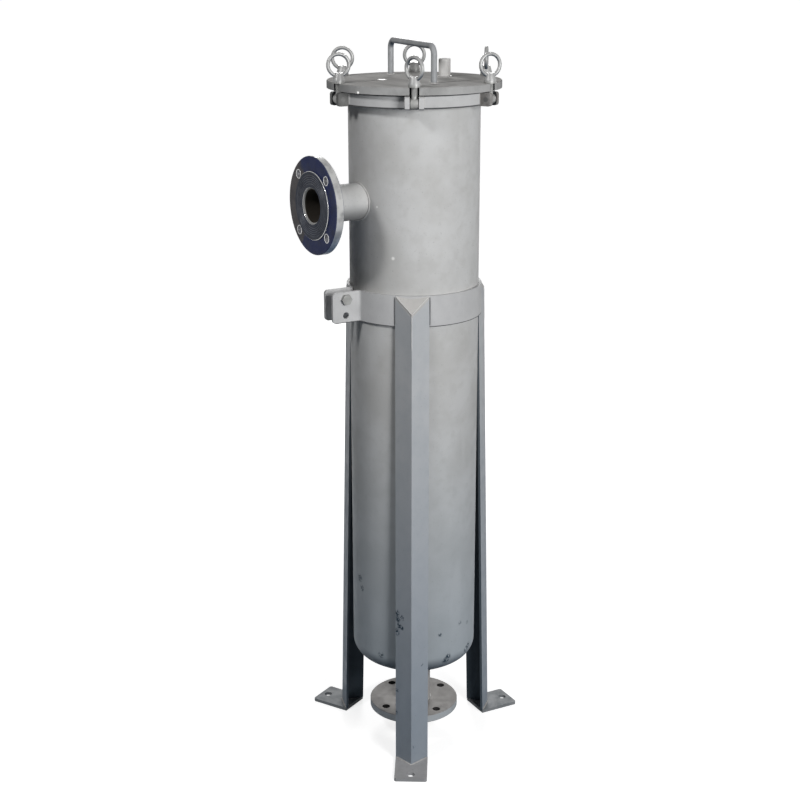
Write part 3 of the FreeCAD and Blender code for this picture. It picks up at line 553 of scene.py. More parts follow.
    def painted_slot_shade(self, graph: Graph) -> Input:
        """Share of painted shade inside the six slots where the bolts swing.

        Args:
            graph: The material's graph.

        Returns:
            The share's socket, 1 on a slot's walls.
        """
        angle = graph.math("ARCTAN2", graph.part("Y"), graph.part("X"))
        past = graph.math("SUBTRACT", angle, math.radians(FIRST_BOLT))
        aside = graph.math("SINE", graph.math("PINGPONG", past, math.radians(BOLT_STEP) / 2.0))
        off_middle = graph.math("MULTIPLY", aside, graph.off_axis(Axis.Z, ORIGIN))
        near = graph.ramp(off_middle, self.slot_half, self.slot_half + self.slot_blur, 1.0, 0.0)
        return graph.math("MULTIPLY", near, self.upright(graph))

    def scuffed(self, graph: Graph, colour: Input) -> Input:
        """Darken the surface in broken spots at the dark marks' places.

        Args:
            graph: The material's graph.
            colour: The colour so far.

        Returns:
            The colour with the marks.
        """
        dark = [scuff for scuff in self.scuffs if not scuff.bright]
        if dark:
            broken = graph.ramp(graph.noise(self.scuff_scale, detail=4.0), *self.scuff_range)
            for scuff in dark:
                share = graph.math("MULTIPLY", self.near(graph, scuff), broken)
                colour = graph.mix(share, colour, self.scuff_colour)
        return colour

    def nicks(self, graph: Graph) -> Input:
        """Bare the metal at the bright nicks.

        Args:
            graph: The material's graph.

        Returns:
            The share of bare metal.
        """
        share = 0.0
        for scuff in self.scuffs:
            if scuff.bright:
                share = graph.math("MAXIMUM", share, self.near(graph, scuff))
        return share

    def near(self, graph: Graph, scuff: Scuff) -> bpy.types.NodeSocket:
        """How strongly a mark shows at each point."""
        away = graph.vector("DISTANCE", graph.place, scuff.centre).outputs["Value"]
        return graph.ramp(away, scuff.reach * self.scuff_core, scuff.reach, scuff.strength, 0.0)


@dataclass(frozen=True)
class TurnedFlange:
    """A turned flange: fine rings on its faces, a raised face of its own colour that can hold painted
    reflection, a sector of painted reflection, painted highlights in its grooves, a brighter rim that turns
    to a painted reflection below its middle, and hole walls that are polished or dark with painted shade.
    """

    name: str
    # On the inlet, the navy face and raised face are painted reflection of a dark blue surrounding; on the
    # outlet they are the steel's own tone.
    face: Colour
    # Painted reflection: the grey-brown colour of one sector of the turned face.
    painted_reflection_sector: Colour
    raised_tone_and_reflection: Colour
    rim: Colour
    # Painted reflection: the blue of the rim below its middle.
    painted_low_rim_reflection: Colour
    axis: Axis
    centre: Point
    raised_radius: float
    raised_blur: float = 0.0012
    sector_towards: Point = (0.0, 1.0, 0.0)
    sector_from: float = 2.0
    sector_blur: float = 0.12
    sector_scale: float = 38.0
    sector_ragged: float = 0.35
    ring_scale: float = 420.0
    ring_share: float = 0.12
    ring_depth: float = 0.00006
    groove_pitch: float = 0.0
    groove_middle: float = 0.0426
    groove_reach: float = 0.0081
    groove_blur: float = 0.0004
    groove_share: float = 0.75
    groove_range: Range = (0.2, 0.9)
    side_range: Range = (0.35, 0.8)
    rim_from: float = 0.074
    rim_blur: float = 0.0005
    low_rim_drop: Range = (-0.07, -0.01)
    pale_gain: float = 2.2
    pale_lift: float = 0.05
    cloud_scale: float = 55.0
    cloud_share: float = 0.45
    cloud_range: Range = (0.42, 0.7)
    cloud_gain: float = 0.55
    polish: float = 0.6
    # Colour of the hole walls: polished steel, or near-black painted shade as on the outlet.
    wall_and_hole_shade: Colour = (0.50, 0.50, 0.52)
    roughness: float = 0.36
    rough_scale: float = 70.0
    rough_spread: Range = (-0.06, 0.1)
    metallic: float = 0.02
    specular: float = 0.06

    def material(self) -> bpy.types.Material:
        """Build the material.

        Returns:
            The new material.
        """
        graph = Graph(self.name)
        away = graph.off_axis(self.axis, self.centre)
        rings = self.rings(graph)
        pale = scaled(self.raised_tone_and_reflection, self.pale_gain, self.pale_lift)
        # Painted reflection: the face and its sector, as on the inlet.
        colour = graph.mix(self.in_painted_reflection(graph, away), self.face, self.painted_reflection_sector)
        inside = graph.ramp(away, self.raised_radius, self.raised_radius + self.raised_blur, 1.0, 0.0)
        # The raised face's colour, navy painted reflection on the inlet.
        colour = graph.mix(inside, colour, self.raised_tone_and_reflection)
        colour = graph.mix(graph.math("MULTIPLY", rings, self.ring_share), colour, pale)
        if self.groove_pitch:
            # Painted highlights along the grooves.
            colour = graph.mix(self.groove_highlights(graph, away), colour, pale)
        across = tuple(1.0 if axis is self.axis else 0.0 for axis in Axis)
        side = graph.ramp(graph.math("ABSOLUTE", graph.facing(across)), *self.side_range, 1.0, 0.0)
        drop = graph.math("SUBTRACT", graph.part("Z"), self.centre[2])
        # The rim turns to its painted blue reflection below the middle.
        rim = graph.mix(graph.ramp(drop, *self.low_rim_drop, 1.0, 0.0), self.rim, self.painted_low_rim_reflection)
        within_rim = graph.ramp(away, self.rim_from, self.rim_from + self.rim_blur, 1.0, 0.0)
        walls = graph.math("MULTIPLY", side, within_rim)
        # Hole walls: polished on the inlet, near-black painted shade on the outlet.
        colour = graph.mix(walls, graph.mix(side, colour, rim), self.wall_and_hole_shade)
        cloudy = graph.noise(self.cloud_scale, detail=6.0)
        clouds = graph.ramp(cloudy, *self.cloud_range, 0.0, self.cloud_share)
        rough = graph.uneven(self.roughness, self.rough_spread, self.rough_scale, detail=4.0)
        graph.surface({"Base Color": graph.mix(clouds, colour, scaled(self.raised_tone_and_reflection, self.cloud_gain)),
                       "Metallic": graph.ramp(walls, 0.0, 1.0, self.metallic, self.polish),
                       "Specular IOR Level": self.specular, "Roughness": rough})
        graph.bump(rings, self.ring_depth, strength=0.5)
        return graph.material

    def rings(self, graph: Graph) -> bpy.types.NodeSocket:
        """Turn fine rings about the flange's axis.

        Args:
            graph: The material's graph.

        Returns:
            The pattern's socket.
        """
        local = graph.vector("SUBTRACT", graph.place, self.centre).outputs[0]
        inputs = {"Vector": local, "Scale": self.ring_scale, "Distortion": 0.6, "Detail": 2.0}
        wave = graph.add("ShaderNodeTexWave", inputs, wave_type="RINGS", rings_direction=self.axis.value)
        return wave.outputs["Fac"]

    def groove_highlights(self, graph: Graph, away: Input) -> Input:
        """Painted highlights: bright lines in the raised face's sealing grooves.

        Args:
            graph: The material's graph.
            away: The distance from the axis.

        Returns:
            The lines' socket, 1 in a groove.
        """
        past = graph.math("SUBTRACT", away, self.groove_middle)
        wave = graph.math("COSINE", graph.math("MULTIPLY", past, 2.0 * math.pi / self.groove_pitch))
        off = graph.math("ABSOLUTE", past)
        within = graph.ramp(off, self.groove_reach, self.groove_reach + self.groove_blur, 1.0, 0.0)
        lines = graph.ramp(wave, *self.groove_range, 0.0, self.groove_share)
        return graph.math("MULTIPLY", lines, within)

    def in_painted_reflection(self, graph: Graph, away: Input) -> Input:
        """Share of the sector's painted reflection, from the direction in which a point lies from the axis.

        Args:
            graph: The material's graph.
            away: The distance from the axis.

        Returns:
            The share, 1 inside the sector.
        """
        local = graph.vector("SUBTRACT", graph.place, self.centre).outputs[0]
        towards = graph.vector("DOT_PRODUCT", local, self.sector_towards).outputs["Value"]
        share = graph.math("DIVIDE", towards, away)
        ragged = graph.math("MULTIPLY", graph.noise(self.sector_scale, detail=5.0), self.sector_ragged)
        share = graph.math("ADD", share, ragged)
        return graph.ramp(share, self.sector_from, self.sector_from + self.sector_blur)


@dataclass(frozen=True)
class Plain:
    """A rigid or rubber finish of one colour with light clouds and grain."""

    name: str
    colour: Colour
    roughness: float
    metallic: float = 0.0
    grain: float = 700.0
    grain_depth: float = 0.00008
    cloud_scale: float = 48.0
    cloud_range: Range = (0.4, 0.7)
    cloud_share: float = 0.6
    cloud_gain: float = 0.72
    rough_scale: float = 90.0
    rough_spread: Range = (-0.05, 0.08)

    def material(self) -> bpy.types.Material:
        """Build the material.

        Returns:
            The new material.
        """
        graph = Graph(self.name)
        cloudy = graph.noise(self.cloud_scale, detail=5.0)
        clouds = graph.ramp(cloudy, *self.cloud_range, 0.0, self.cloud_share)
        rough = graph.uneven(self.roughness, self.rough_spread, self.rough_scale, detail=3.0)
        graph.surface({"Base Color": graph.mix(clouds, self.colour, scaled(self.colour, self.cloud_gain)),
                       "Metallic": self.metallic, "Roughness": rough})
        graph.bump(graph.noise(self.grain, detail=3.0), self.grain_depth, strength=0.6)
        return graph.material


@dataclass(frozen=True)
class Felt:
    """Needled felt: a soft pale web of fibres, with a stitched seam up one side."""

    name: str
    colour: Colour
    shade: Colour
    thread: Colour = (0.9, 0.9, 0.86)
    seam_towards: Point = (0.0, 1.0, 0.0)
    stitch_pitch: float = 0.004
    stitch_range: Range = (0.25, 0.4)
    stitch_depth: float = 0.0006
    row_off: float = 0.003
    row_half: Range = (0.0004, 0.0009)
    side_blur: float = 0.01
    fibre_scale: float = 900.0
    fibre_stretch: Point = (1.0, 1.0, 0.35)
    fibre_range: Range = (0.45, 0.7)
    fibre_share: float = 0.5
    fibre_depth: float = 0.0004
    lump_scale: float = 70.0
    lump_range: Range = (0.35, 0.7)
    lump_share: float = 0.55
    roughness: float = 0.95
    sheen: float = 0.35

    def material(self) -> bpy.types.Material:
        """Build the material.

        Returns:
            The new material.
        """
        graph = Graph(self.name)
        fibres = graph.noise(self.fibre_scale, 6.0, self.fibre_stretch)
        lumpy = graph.noise(self.lump_scale, detail=4.0)
        lumps = graph.ramp(lumpy, *self.lump_range, 0.0, self.lump_share)
        web = graph.ramp(fibres, *self.fibre_range, 0.0, self.fibre_share)
        colour = graph.mix(web, graph.mix(lumps, self.colour, self.shade), self.shade)
        stitches = self.stitches(graph)
        graph.surface({"Base Color": graph.mix(stitches, colour, self.thread),
                       "Roughness": self.roughness, "Sheen Weight": self.sheen})
        graph.bump(fibres, self.fibre_depth, strength=0.8)
        graph.bump(stitches, self.stitch_depth, strength=0.9)
        return graph.material

    def stitches(self, graph: Graph) -> bpy.types.NodeSocket:
        """Two rows of stitches along the side seam.

        Args:
            graph: The material's graph.

        Returns:
            The pattern's socket, 1 on the thread.
        """
        sideways = (-self.seam_towards[1], self.seam_towards[0], 0.0)
        across = graph.vector("DOT_PRODUCT", graph.place, sideways).outputs["Value"]
        aside = graph.math("ABSOLUTE", across)
        row = graph.math("ABSOLUTE", graph.math("SUBTRACT", aside, self.row_off))
        near = graph.ramp(row, *self.row_half, 1.0, 0.0)
        towards = graph.vector("DOT_PRODUCT", graph.place, self.seam_towards).outputs["Value"]
        this_side = graph.math("MULTIPLY", near, graph.ramp(towards, 0.0, self.side_blur))
        stitches = graph.ramp(graph.bands(self.stitch_pitch), *self.stitch_range)
        return graph.math("MULTIPLY", this_side, stitches)


def finish_piece(mesh: bmesh.types.BMesh, name: str, body: str,
                 material: bpy.types.Material) -> bpy.types.Object:
    """Turn a finished bmesh into a smooth piece that rides on a body.

    Args:
        mesh: The shape, in the row frame. It is freed.
        name: The piece's name.
        body: The body that carries it.
        material: Its material.

    Returns:
        The new object.
    """
    bmesh.ops.recalc_face_normals(mesh, faces=mesh.faces)
    for face in mesh.faces:
        face.smooth = True
    data = bpy.data.meshes.new(name)
    mesh.to_mesh(data)
    mesh.free()
    data.materials.append(material)
    piece = bpy.data.objects.new(name, data)
    bpy.context.scene.collection.objects.link(piece)
    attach(piece, body)
    LOG.info("%s rides on %s: %d faces", name, body, len(data.polygons))
    return piece


def dress(nodes: Iterable[str], material: bpy.types.Material) -> None:
    """Give solids their material.

    Args:
        nodes: Names of solids.
        material: The material that takes the place of their own.
    """
    for node in nodes:
        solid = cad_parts[node]
        for place in solid.material_slots:
            place.material = material
        LOG.info("%s wears %s", node, material.name)


@dataclass(frozen=True)
class Bead:
    """A weld bead: a rounded ripple that follows a ring or a straight line."""

    size: float = 0.0022
    ripple: float = 0.0032
    swell: float = 0.16
    sides: int = 8

    def section(self, mesh: bmesh.types.BMesh) -> list:
        """Start a bead with its round section about the origin, and return its points and edges."""
        points = bmesh.ops.create_circle(mesh, segments=self.sides, radius=self.size)["verts"]
        return points + list(dict.fromkeys(edge for point in points for edge in point.link_edges))

    def ring(self, mesh: bmesh.types.BMesh, radius: float, place: Matrix,
             shift: Callable[[Vector], Vector] | None = None) -> None:
        """Add a ring about the Z axis of a place.

        Args:
            mesh: Where the ring goes.
            radius: The ring's radius.
            place: Where the ring's centre and axis lie.
            shift: Moves each point before the place is applied.
        """
        before = set(mesh.verts)
        section = self.section(mesh)
        points = [item for item in section if isinstance(item, bmesh.types.BMVert)]
        stand = Matrix.Translation((radius, 0.0, 0.0)) @ Matrix.Rotation(math.pi / 2.0, 4, "X")
        bmesh.ops.transform(mesh, matrix=stand, verts=points)
        steps = max(12, round(2.0 * math.pi * radius / self.ripple)) * 2
        bmesh.ops.spin(mesh, geom=section, cent=(0, 0, 0), axis=(0, 0, 1), angle=2.0 * math.pi,
                       steps=steps, use_merge=True)
        made = [point for point in mesh.verts if point not in before]
        for point in made:
            angle = math.atan2(point.co.y, point.co.x)
            middle = Vector((radius * math.cos(angle), radius * math.sin(angle), 0.0))
            odd = round(angle / (2.0 * math.pi) * steps) % 2
            point.co = middle + (point.co - middle) * (1.0 + self.swell * (odd - 0.5))
            point.co = shift(point.co) if shift else point.co
        bmesh.ops.transform(mesh, matrix=place, verts=made)

    def line(self, mesh: bmesh.types.BMesh, start: Vector, end: Vector) -> None:
        """Add a straight bead with narrowed ends.

        Args:
            mesh: Where the bead goes.
            start: One end.
            end: The other end.
        """
        before = set(mesh.verts)
        run = end - start
        steps = max(4, round(run.length / self.ripple) * 2)
        stride = run.length / steps
        bmesh.ops.spin(mesh, geom=self.section(mesh), cent=(0, 0, 0), axis=(0, 0, 1), dvec=(0, 0, stride),
                       angle=0.0, steps=steps, use_merge=False)
        made = [point for point in mesh.verts if point not in before]
        for point in made:
            index = round(point.co.z / stride)
            width = min(1.0, (min(index, steps - index) + 0.5) / 2.0) * (1.0 + self.swell * (index % 2 - 0.5))
            point.co = Vector((point.co.x * width, point.co.y * width, point.co.z))
        rims = [edge for edge in mesh.edges if edge.is_boundary and edge.verts[0] not in before]
        bmesh.ops.edgeloop_fill(mesh, edges=rims)
        aim = run.to_track_quat("Z", "Y").to_matrix().to_4x4()
        bmesh.ops.transform(mesh, matrix=Matrix.Translation(start) @ aim, verts=made)


SHELL_SCUFFS = (
    shell_scuff(177.5, 0.3165, 0.010), shell_scuff(181.2, 0.300, 0.008), shell_scuff(206.0, 0.1856, 0.008),
    shell_scuff(269.5, 0.1744, 0.010), shell_scuff(271.7, 0.182, 0.008), shell_scuff(263.0, 0.228, 0.005),
    shell_scuff(297.0, 0.1797, 0.009), shell_scuff(301.0, 0.1842, 0.008),
    shell_scuff(286.5, 0.2384, 0.006, 0.5), shell_scuff(298.3, 0.2317, 0.005, 0.5),
    shell_scuff(219.7, 0.9027, 0.004, 0.5, bright=True), shell_scuff(204.6, 0.985, 0.0025, 0.8, bright=True),
)
LEG_SCUFFS = (
    leg_scuff(-0.0257, 0.2829, 0.009), leg_scuff(-0.0167, 0.2779, 0.007), leg_scuff(-0.0239, 0.272, 0.008),
    leg_scuff(-0.0221, 0.2603, 0.008), leg_scuff(-0.0257, 0.2472, 0.009), leg_scuff(-0.0167, 0.2591, 0.006),
    leg_scuff(-0.0258, 0.1366, 0.006, 0.7), leg_scuff(-0.0278, 0.093, 0.006, 0.7),
    leg_scuff(0.0181, 0.1892, 0.004, 0.5), leg_scuff(0.0047, 0.0381, 0.005, 0.6),
)
LID_NICKS = (
    Scuff((-0.0476, 0.0237, 1.1800), 0.009, 1.0, bright=True),
    Scuff((-0.1352, -0.0495, 1.1696), 0.003, 1.0, bright=True),
)


class Finishes:
    """All materials of the housing, made once."""

    def __init__(self) -> None:
        """Build every material."""
        self.shell = Blasted("blasted_shell", (0.555, 0.555, 0.55), (0.43, 0.425, 0.41), metallic=0.015,
                             # The shell's bluish colour towards the bottom is painted shade.
                             cloud_share=0.65, scuffs=SHELL_SCUFFS, painted_foot_shade=(0.34, 0.40, 0.45),
                             # The shell's and head's downward faces get painted shade.
                             foot_height=0.75, painted_under_shade=0.8).material()
        self.lid = Blasted("blasted_lid", (0.38, 0.38, 0.375), (0.24, 0.24, 0.235), clouds=16.0, metallic=0.0,
                           # The lid's light top colour is painted light on its level top.
                           specular=0.0, cloud_share=0.7, painted_top_light=(0.82, 0.805, 0.785),
                           # slot_half paints shade on the walls of the lid's slots.
                           scuffs=LID_NICKS, slot_half=LID_SLOT).material()
        self.collar = Blasted("blasted_collar", (0.50, 0.50, 0.50), (0.41, 0.41, 0.41), clouds=14.0,
                              # slot_half paints shade on the walls of the lug slots.
                              slot_half=LUG_SLOT, painted_shadow_lines=(COLLAR_LOW, COLLAR_HIGH),
                              # The collar's dark lines at its lower edge and under the lid are painted
                              # shadow.
                              shadow_line_half=0.0024).material()
        # A dark copy of the lug steel: painted shade for the lug on the shaded side.
        self.painted_shade_lug = Blasted("painted_shade_lug_steel", (0.15, 0.15, 0.145), (0.08, 0.08, 0.08), clouds=60.0,
                               # The slot walls of this lug get painted shade.
                               slot_half=LUG_SLOT).material()
        # A darker, more clouded copy of the lug steel.
        self.darker_lug = Blasted("darker_lug_steel", (0.36, 0.35, 0.34), (0.15, 0.14, 0.13), clouds=60.0, cloud_share=0.8,
                            # The slot walls of this lug get painted shade.
                            slot_half=LUG_SLOT).material()
        self.stand = Blasted("blasted_stand", (0.49, 0.50, 0.51), (0.41, 0.43, 0.45), clouds=12.0,
                             # The legs' near-black inner faces are painted shade.
                             # The stand's bluish colour towards the feet is painted shade.
                             painted_foot_shade=(0.26, 0.31, 0.37), foot_height=0.8, painted_inner_shade=(0.03, 0.045, 0.06),
                             scuffs=LEG_SCUFFS).material()
        self.band = Blasted("blasted_band", (0.50, 0.50, 0.50), (0.425, 0.425, 0.43), clouds=12.0,
                            # The band's dark line along its lower edge is painted shadow.
                            painted_shadow_lines=(BAND_SHADOW_LINE,), shadow_line_half=0.0012).material()
        self.cap = Blasted("blasted_cap", (0.50, 0.49, 0.475), (0.43, 0.42, 0.41), clouds=30.0).material()
        # A near-black steel for beads of painted shade in the crevices between band and legs.
        self.painted_crevice_shade = Blasted("painted_crevice_shade_steel", (0.12, 0.125, 0.13), (0.07, 0.07, 0.075)).material()
        # A light steel for beads of painted highlight on the legs' edges.
        self.edge = Blasted("edge_highlight_steel", (0.72, 0.72, 0.71), (0.58, 0.58, 0.57), clouds=60.0).material()
        self.plate = Blasted("foot_steel", (0.40, 0.40, 0.41), (0.30, 0.30, 0.30), clouds=30.0).material()
        # A darker, bluer copy of the foot steel: painted shade for the two far plates.
        self.painted_shade_plate = Blasted("painted_shade_foot_steel", (0.31, 0.32, 0.33), (0.17, 0.19, 0.20),
                                 clouds=30.0).material()
        self.socket = Blasted("socket_steel", (0.68, 0.67, 0.655), (0.55, 0.54, 0.53), clouds=40.0).material()
        self.bar = Blasted("bar_steel", (0.38, 0.39, 0.40), (0.24, 0.25, 0.26), clouds=30.0,
                           # The bar's darker underside is painted shade.
                           roughness=0.45, painted_under_shade=0.9).material()
        self.eye = Blasted("eye_steel", (0.42, 0.42, 0.415), (0.19, 0.19, 0.19), clouds=40.0,
                           # The eye nuts' darker undersides are painted shade.
                           roughness=0.33, metallic=0.15, specular=0.2, painted_under_shade=0.92).material()
        self.fastener = Blasted("fastener_steel", (0.36, 0.36, 0.35), (0.22, 0.22, 0.21), clouds=50.0,
                                # The fasteners' darker undersides are painted shade.
                                roughness=0.38, metallic=0.3, painted_under_shade=0.6).material()
        self.pin = Blasted("pin_steel", (0.18, 0.18, 0.175), (0.10, 0.10, 0.10), clouds=60.0).material()
        self.threaded = Blasted("threaded_steel", (0.38, 0.38, 0.37), (0.24, 0.24, 0.23), clouds=50.0,
                                roughness=0.36, metallic=0.3, thread_pitch=0.0015).material()
        self.weld = Blasted("weld_steel", (0.47, 0.465, 0.455), (0.36, 0.355, 0.345), clouds=60.0,
                            # The welds' darker undersides are painted shade.
                            roughness=0.45, metallic=0.15, painted_under_shade=0.5).material()
        self.burnished = Blasted("burnished_steel", (0.85, 0.85, 0.84), (0.6, 0.6, 0.6), clouds=60.0,
                                 roughness=0.2, metallic=0.8, specular=0.5).material()
        self.inlet_pipe = Blasted("blasted_inlet_pipe", (0.53, 0.53, 0.52), (0.42, 0.42, 0.42), clouds=20.0,
                                  # The inlet pipe's grey underside is painted shade.
                                  painted_under_shade=0.75, painted_under_colour=(0.14, 0.14, 0.14),
                                  bore=Bore(Axis.X, INLET_CENTRE, PIPE_BORE, (0.055, 0.048, 0.04))).material()
        self.outlet_pipe = Blasted("blasted_outlet_pipe", (0.46, 0.45, 0.44), (0.36, 0.35, 0.34), clouds=20.0,
                                   bore=Bore(Axis.Z, ORIGIN, PIPE_BORE, (0.10, 0.09, 0.08))).material()
        # The inlet's navy face and raised face, grey-brown sector and blue lower rim are painted reflection
        # of a dark blue surrounding; its grooves get painted highlights.
        self.inlet = TurnedFlange("turned_inlet", (0.005, 0.014, 0.082), (0.095, 0.085, 0.085),
                                  (0.03, 0.036, 0.055), (0.50, 0.50, 0.49), (0.12, 0.17, 0.25), Axis.X,
                                  INLET_CENTRE, RAISED_FACE, sector_from=0.62, groove_pitch=0.0034).material()
        self.outlet = TurnedFlange("turned_outlet", (0.32, 0.31, 0.30), (0.32, 0.31, 0.30),
                                   (0.27, 0.26, 0.255), (0.50, 0.53, 0.55), (0.50, 0.53, 0.55), Axis.Z,
                                   (0.0, 0.0, 0.05), 0.0, roughness=0.55, cloud_share=0.2, polish=0.0,
                                   # The outlet's near-black hole walls are painted shade.
                                   wall_and_hole_shade=(0.02, 0.02, 0.02)).material()
        self.basket = Blasted("basket_steel", (0.50, 0.50, 0.50), (0.38, 0.38, 0.38), roughness=0.35,
                              metallic=0.8, clouds=24.0).material()
        self.rubber = Plain("seal_rubber", (0.02, 0.02, 0.02), 0.7).material()
        self.felt = Felt("bag_felt", (0.80, 0.78, 0.72), (0.60, 0.58, 0.52)).material()
        self.plastic = Plain("ring_plastic", (0.72, 0.72, 0.68), 0.45).material()


@dataclass(frozen=True)
class Hoop:
    """A bead laid as a ring: how far outside a radius its middle lies, and how far beyond a height."""

    bead: Bead
    off: float
    beyond: float = 0.0

    def lay(self, mesh: bmesh.types.BMesh, radius: float, height: float, place: Matrix | None = None,
            shift: Callable[[Vector], Vector] | None = None) -> None:
        """Add the ring.

        Args:
            mesh: Where the ring goes.
            radius: The radius that it follows.
            height: The height along the place's axis.
            place: The place, or None for the row frame.
            shift: Moves each point before the place is applied.
        """
        lifted = (place or Matrix.Identity(4)) @ Matrix.Translation((0.0, 0.0, height + self.beyond))
        self.bead.ring(mesh, radius + self.off, lifted, shift)


@dataclass
class Stand:
    """The clamp band, its bolt, and the three legs with their plates."""

    body: str = "stand"
    slot: str = "stand_steel"
    half_chord: float = 0.02828
    band_outer: float = 0.11485
    mitre_drop: float = 0.025
    # Length of the painted highlight down each ridge below the mitre.
    highlight_length: float = 0.06
    corner_off: float = 0.0008
    toe_back: float = 0.0022
    toe_in: float = 0.0014
    # Offsets of the beads of painted shade along the band beside each leg.
    shadow_line_out: float = 0.0006
    shadow_line_inset: float = 0.002
    plate_bead: Bead = Bead(0.0016, 0.0026, 0.2)
    # Dark beads of painted shade in the crevices where the band meets each leg.
    band_shadow_line: Bead = Bead(0.0007, 0.004, 0.0, 6)
    # Bright beads of painted highlight on the legs' ridges and mitre edges.
    highlight_bead: Bead = Bead(0.0005, 0.004, 0.0, 6)

    def dress(self, finishes: Finishes) -> None:
        """Give the stand's solids their materials, and lay its welds.

        Args:
            finishes: The housing's materials.
        """
        dress([f"leg_{name}" for name in LEGS], finishes.stand)
        dress([f"leg_cap_{name}" for name in LEGS], finishes.cap)
        dress(["clamp_band"], finishes.band)
        dress(["foot_plate_front"], finishes.plate)
        # The two far plates wear the darker copy, painted shade.
        dress(["foot_plate_back_left", "foot_plate_right"], finishes.painted_shade_plate)
        dress(["clamp_bolt", "clamp_nut"], finishes.fastener)
        self.lay_welds(finishes)

    def lay_welds(self, finishes: Finishes) -> None:
        """Lay the beads at the foot plates, dark beads of painted shade where the band meets the legs, and
        bright beads of painted highlight down the ridges and on the edges of the mitres.

        Args:
            finishes: The housing's materials.
        """
        welds, painted_shadow_lines, edges = bmesh.new(), bmesh.new(), bmesh.new()
        off = self.half_chord + self.corner_off
        along = math.sqrt(self.band_outer ** 2 - off ** 2) + self.shadow_line_out
        for number in range(len(LEGS)):
            direction = FIRST_LEG + LEG_STEP * number
            apex = self.on_ridge(BAND_TOP - self.mitre_drop, direction)
            # Painted highlight: a bright bead down the ridge below the mitre's apex.
            self.highlight_bead.line(edges, apex, self.on_ridge(apex.z - self.highlight_length, direction))
            ridge = at(LEG_FOOT + self.corner_off, 0.0, PLATE_TOP, direction)
            for side in (-1.0, 1.0):
                toe = at(LEG_FOOT - self.half_chord + self.toe_back, side * (self.half_chord - self.toe_in),
                         PLATE_TOP, direction)
                self.plate_bead.line(welds, ridge, toe)
                low, high = (at(along, side * off, level, direction)
                             for level in (BAND_LOW + self.shadow_line_inset, BAND_TOP - self.shadow_line_inset))
                # Painted shade: a dark bead in the crevice between band and leg.
                self.band_shadow_line.line(painted_shadow_lines, low, high)
                corner = at(along, side * (self.half_chord - self.corner_off), BAND_TOP - self.corner_off,
                            direction)
                # Painted highlight along a mitre edge.
                self.highlight_bead.line(edges, apex, corner)
        finish_piece(welds, "stand_welds", self.body, finishes.weld)
        # The dark band beads are painted shade.
        finish_piece(painted_shadow_lines, "band_shadow_lines", self.body, finishes.painted_crevice_shade)
        # The bright leg edge beads are painted highlights.
        finish_piece(edges, "leg_edge_highlights", self.body, finishes.edge)

    def on_ridge(self, level: float, direction: float) -> Vector:
        """The point of a leg's ridge at a height."""
        return at(ridge_reach(level), 0.0, level, direction)


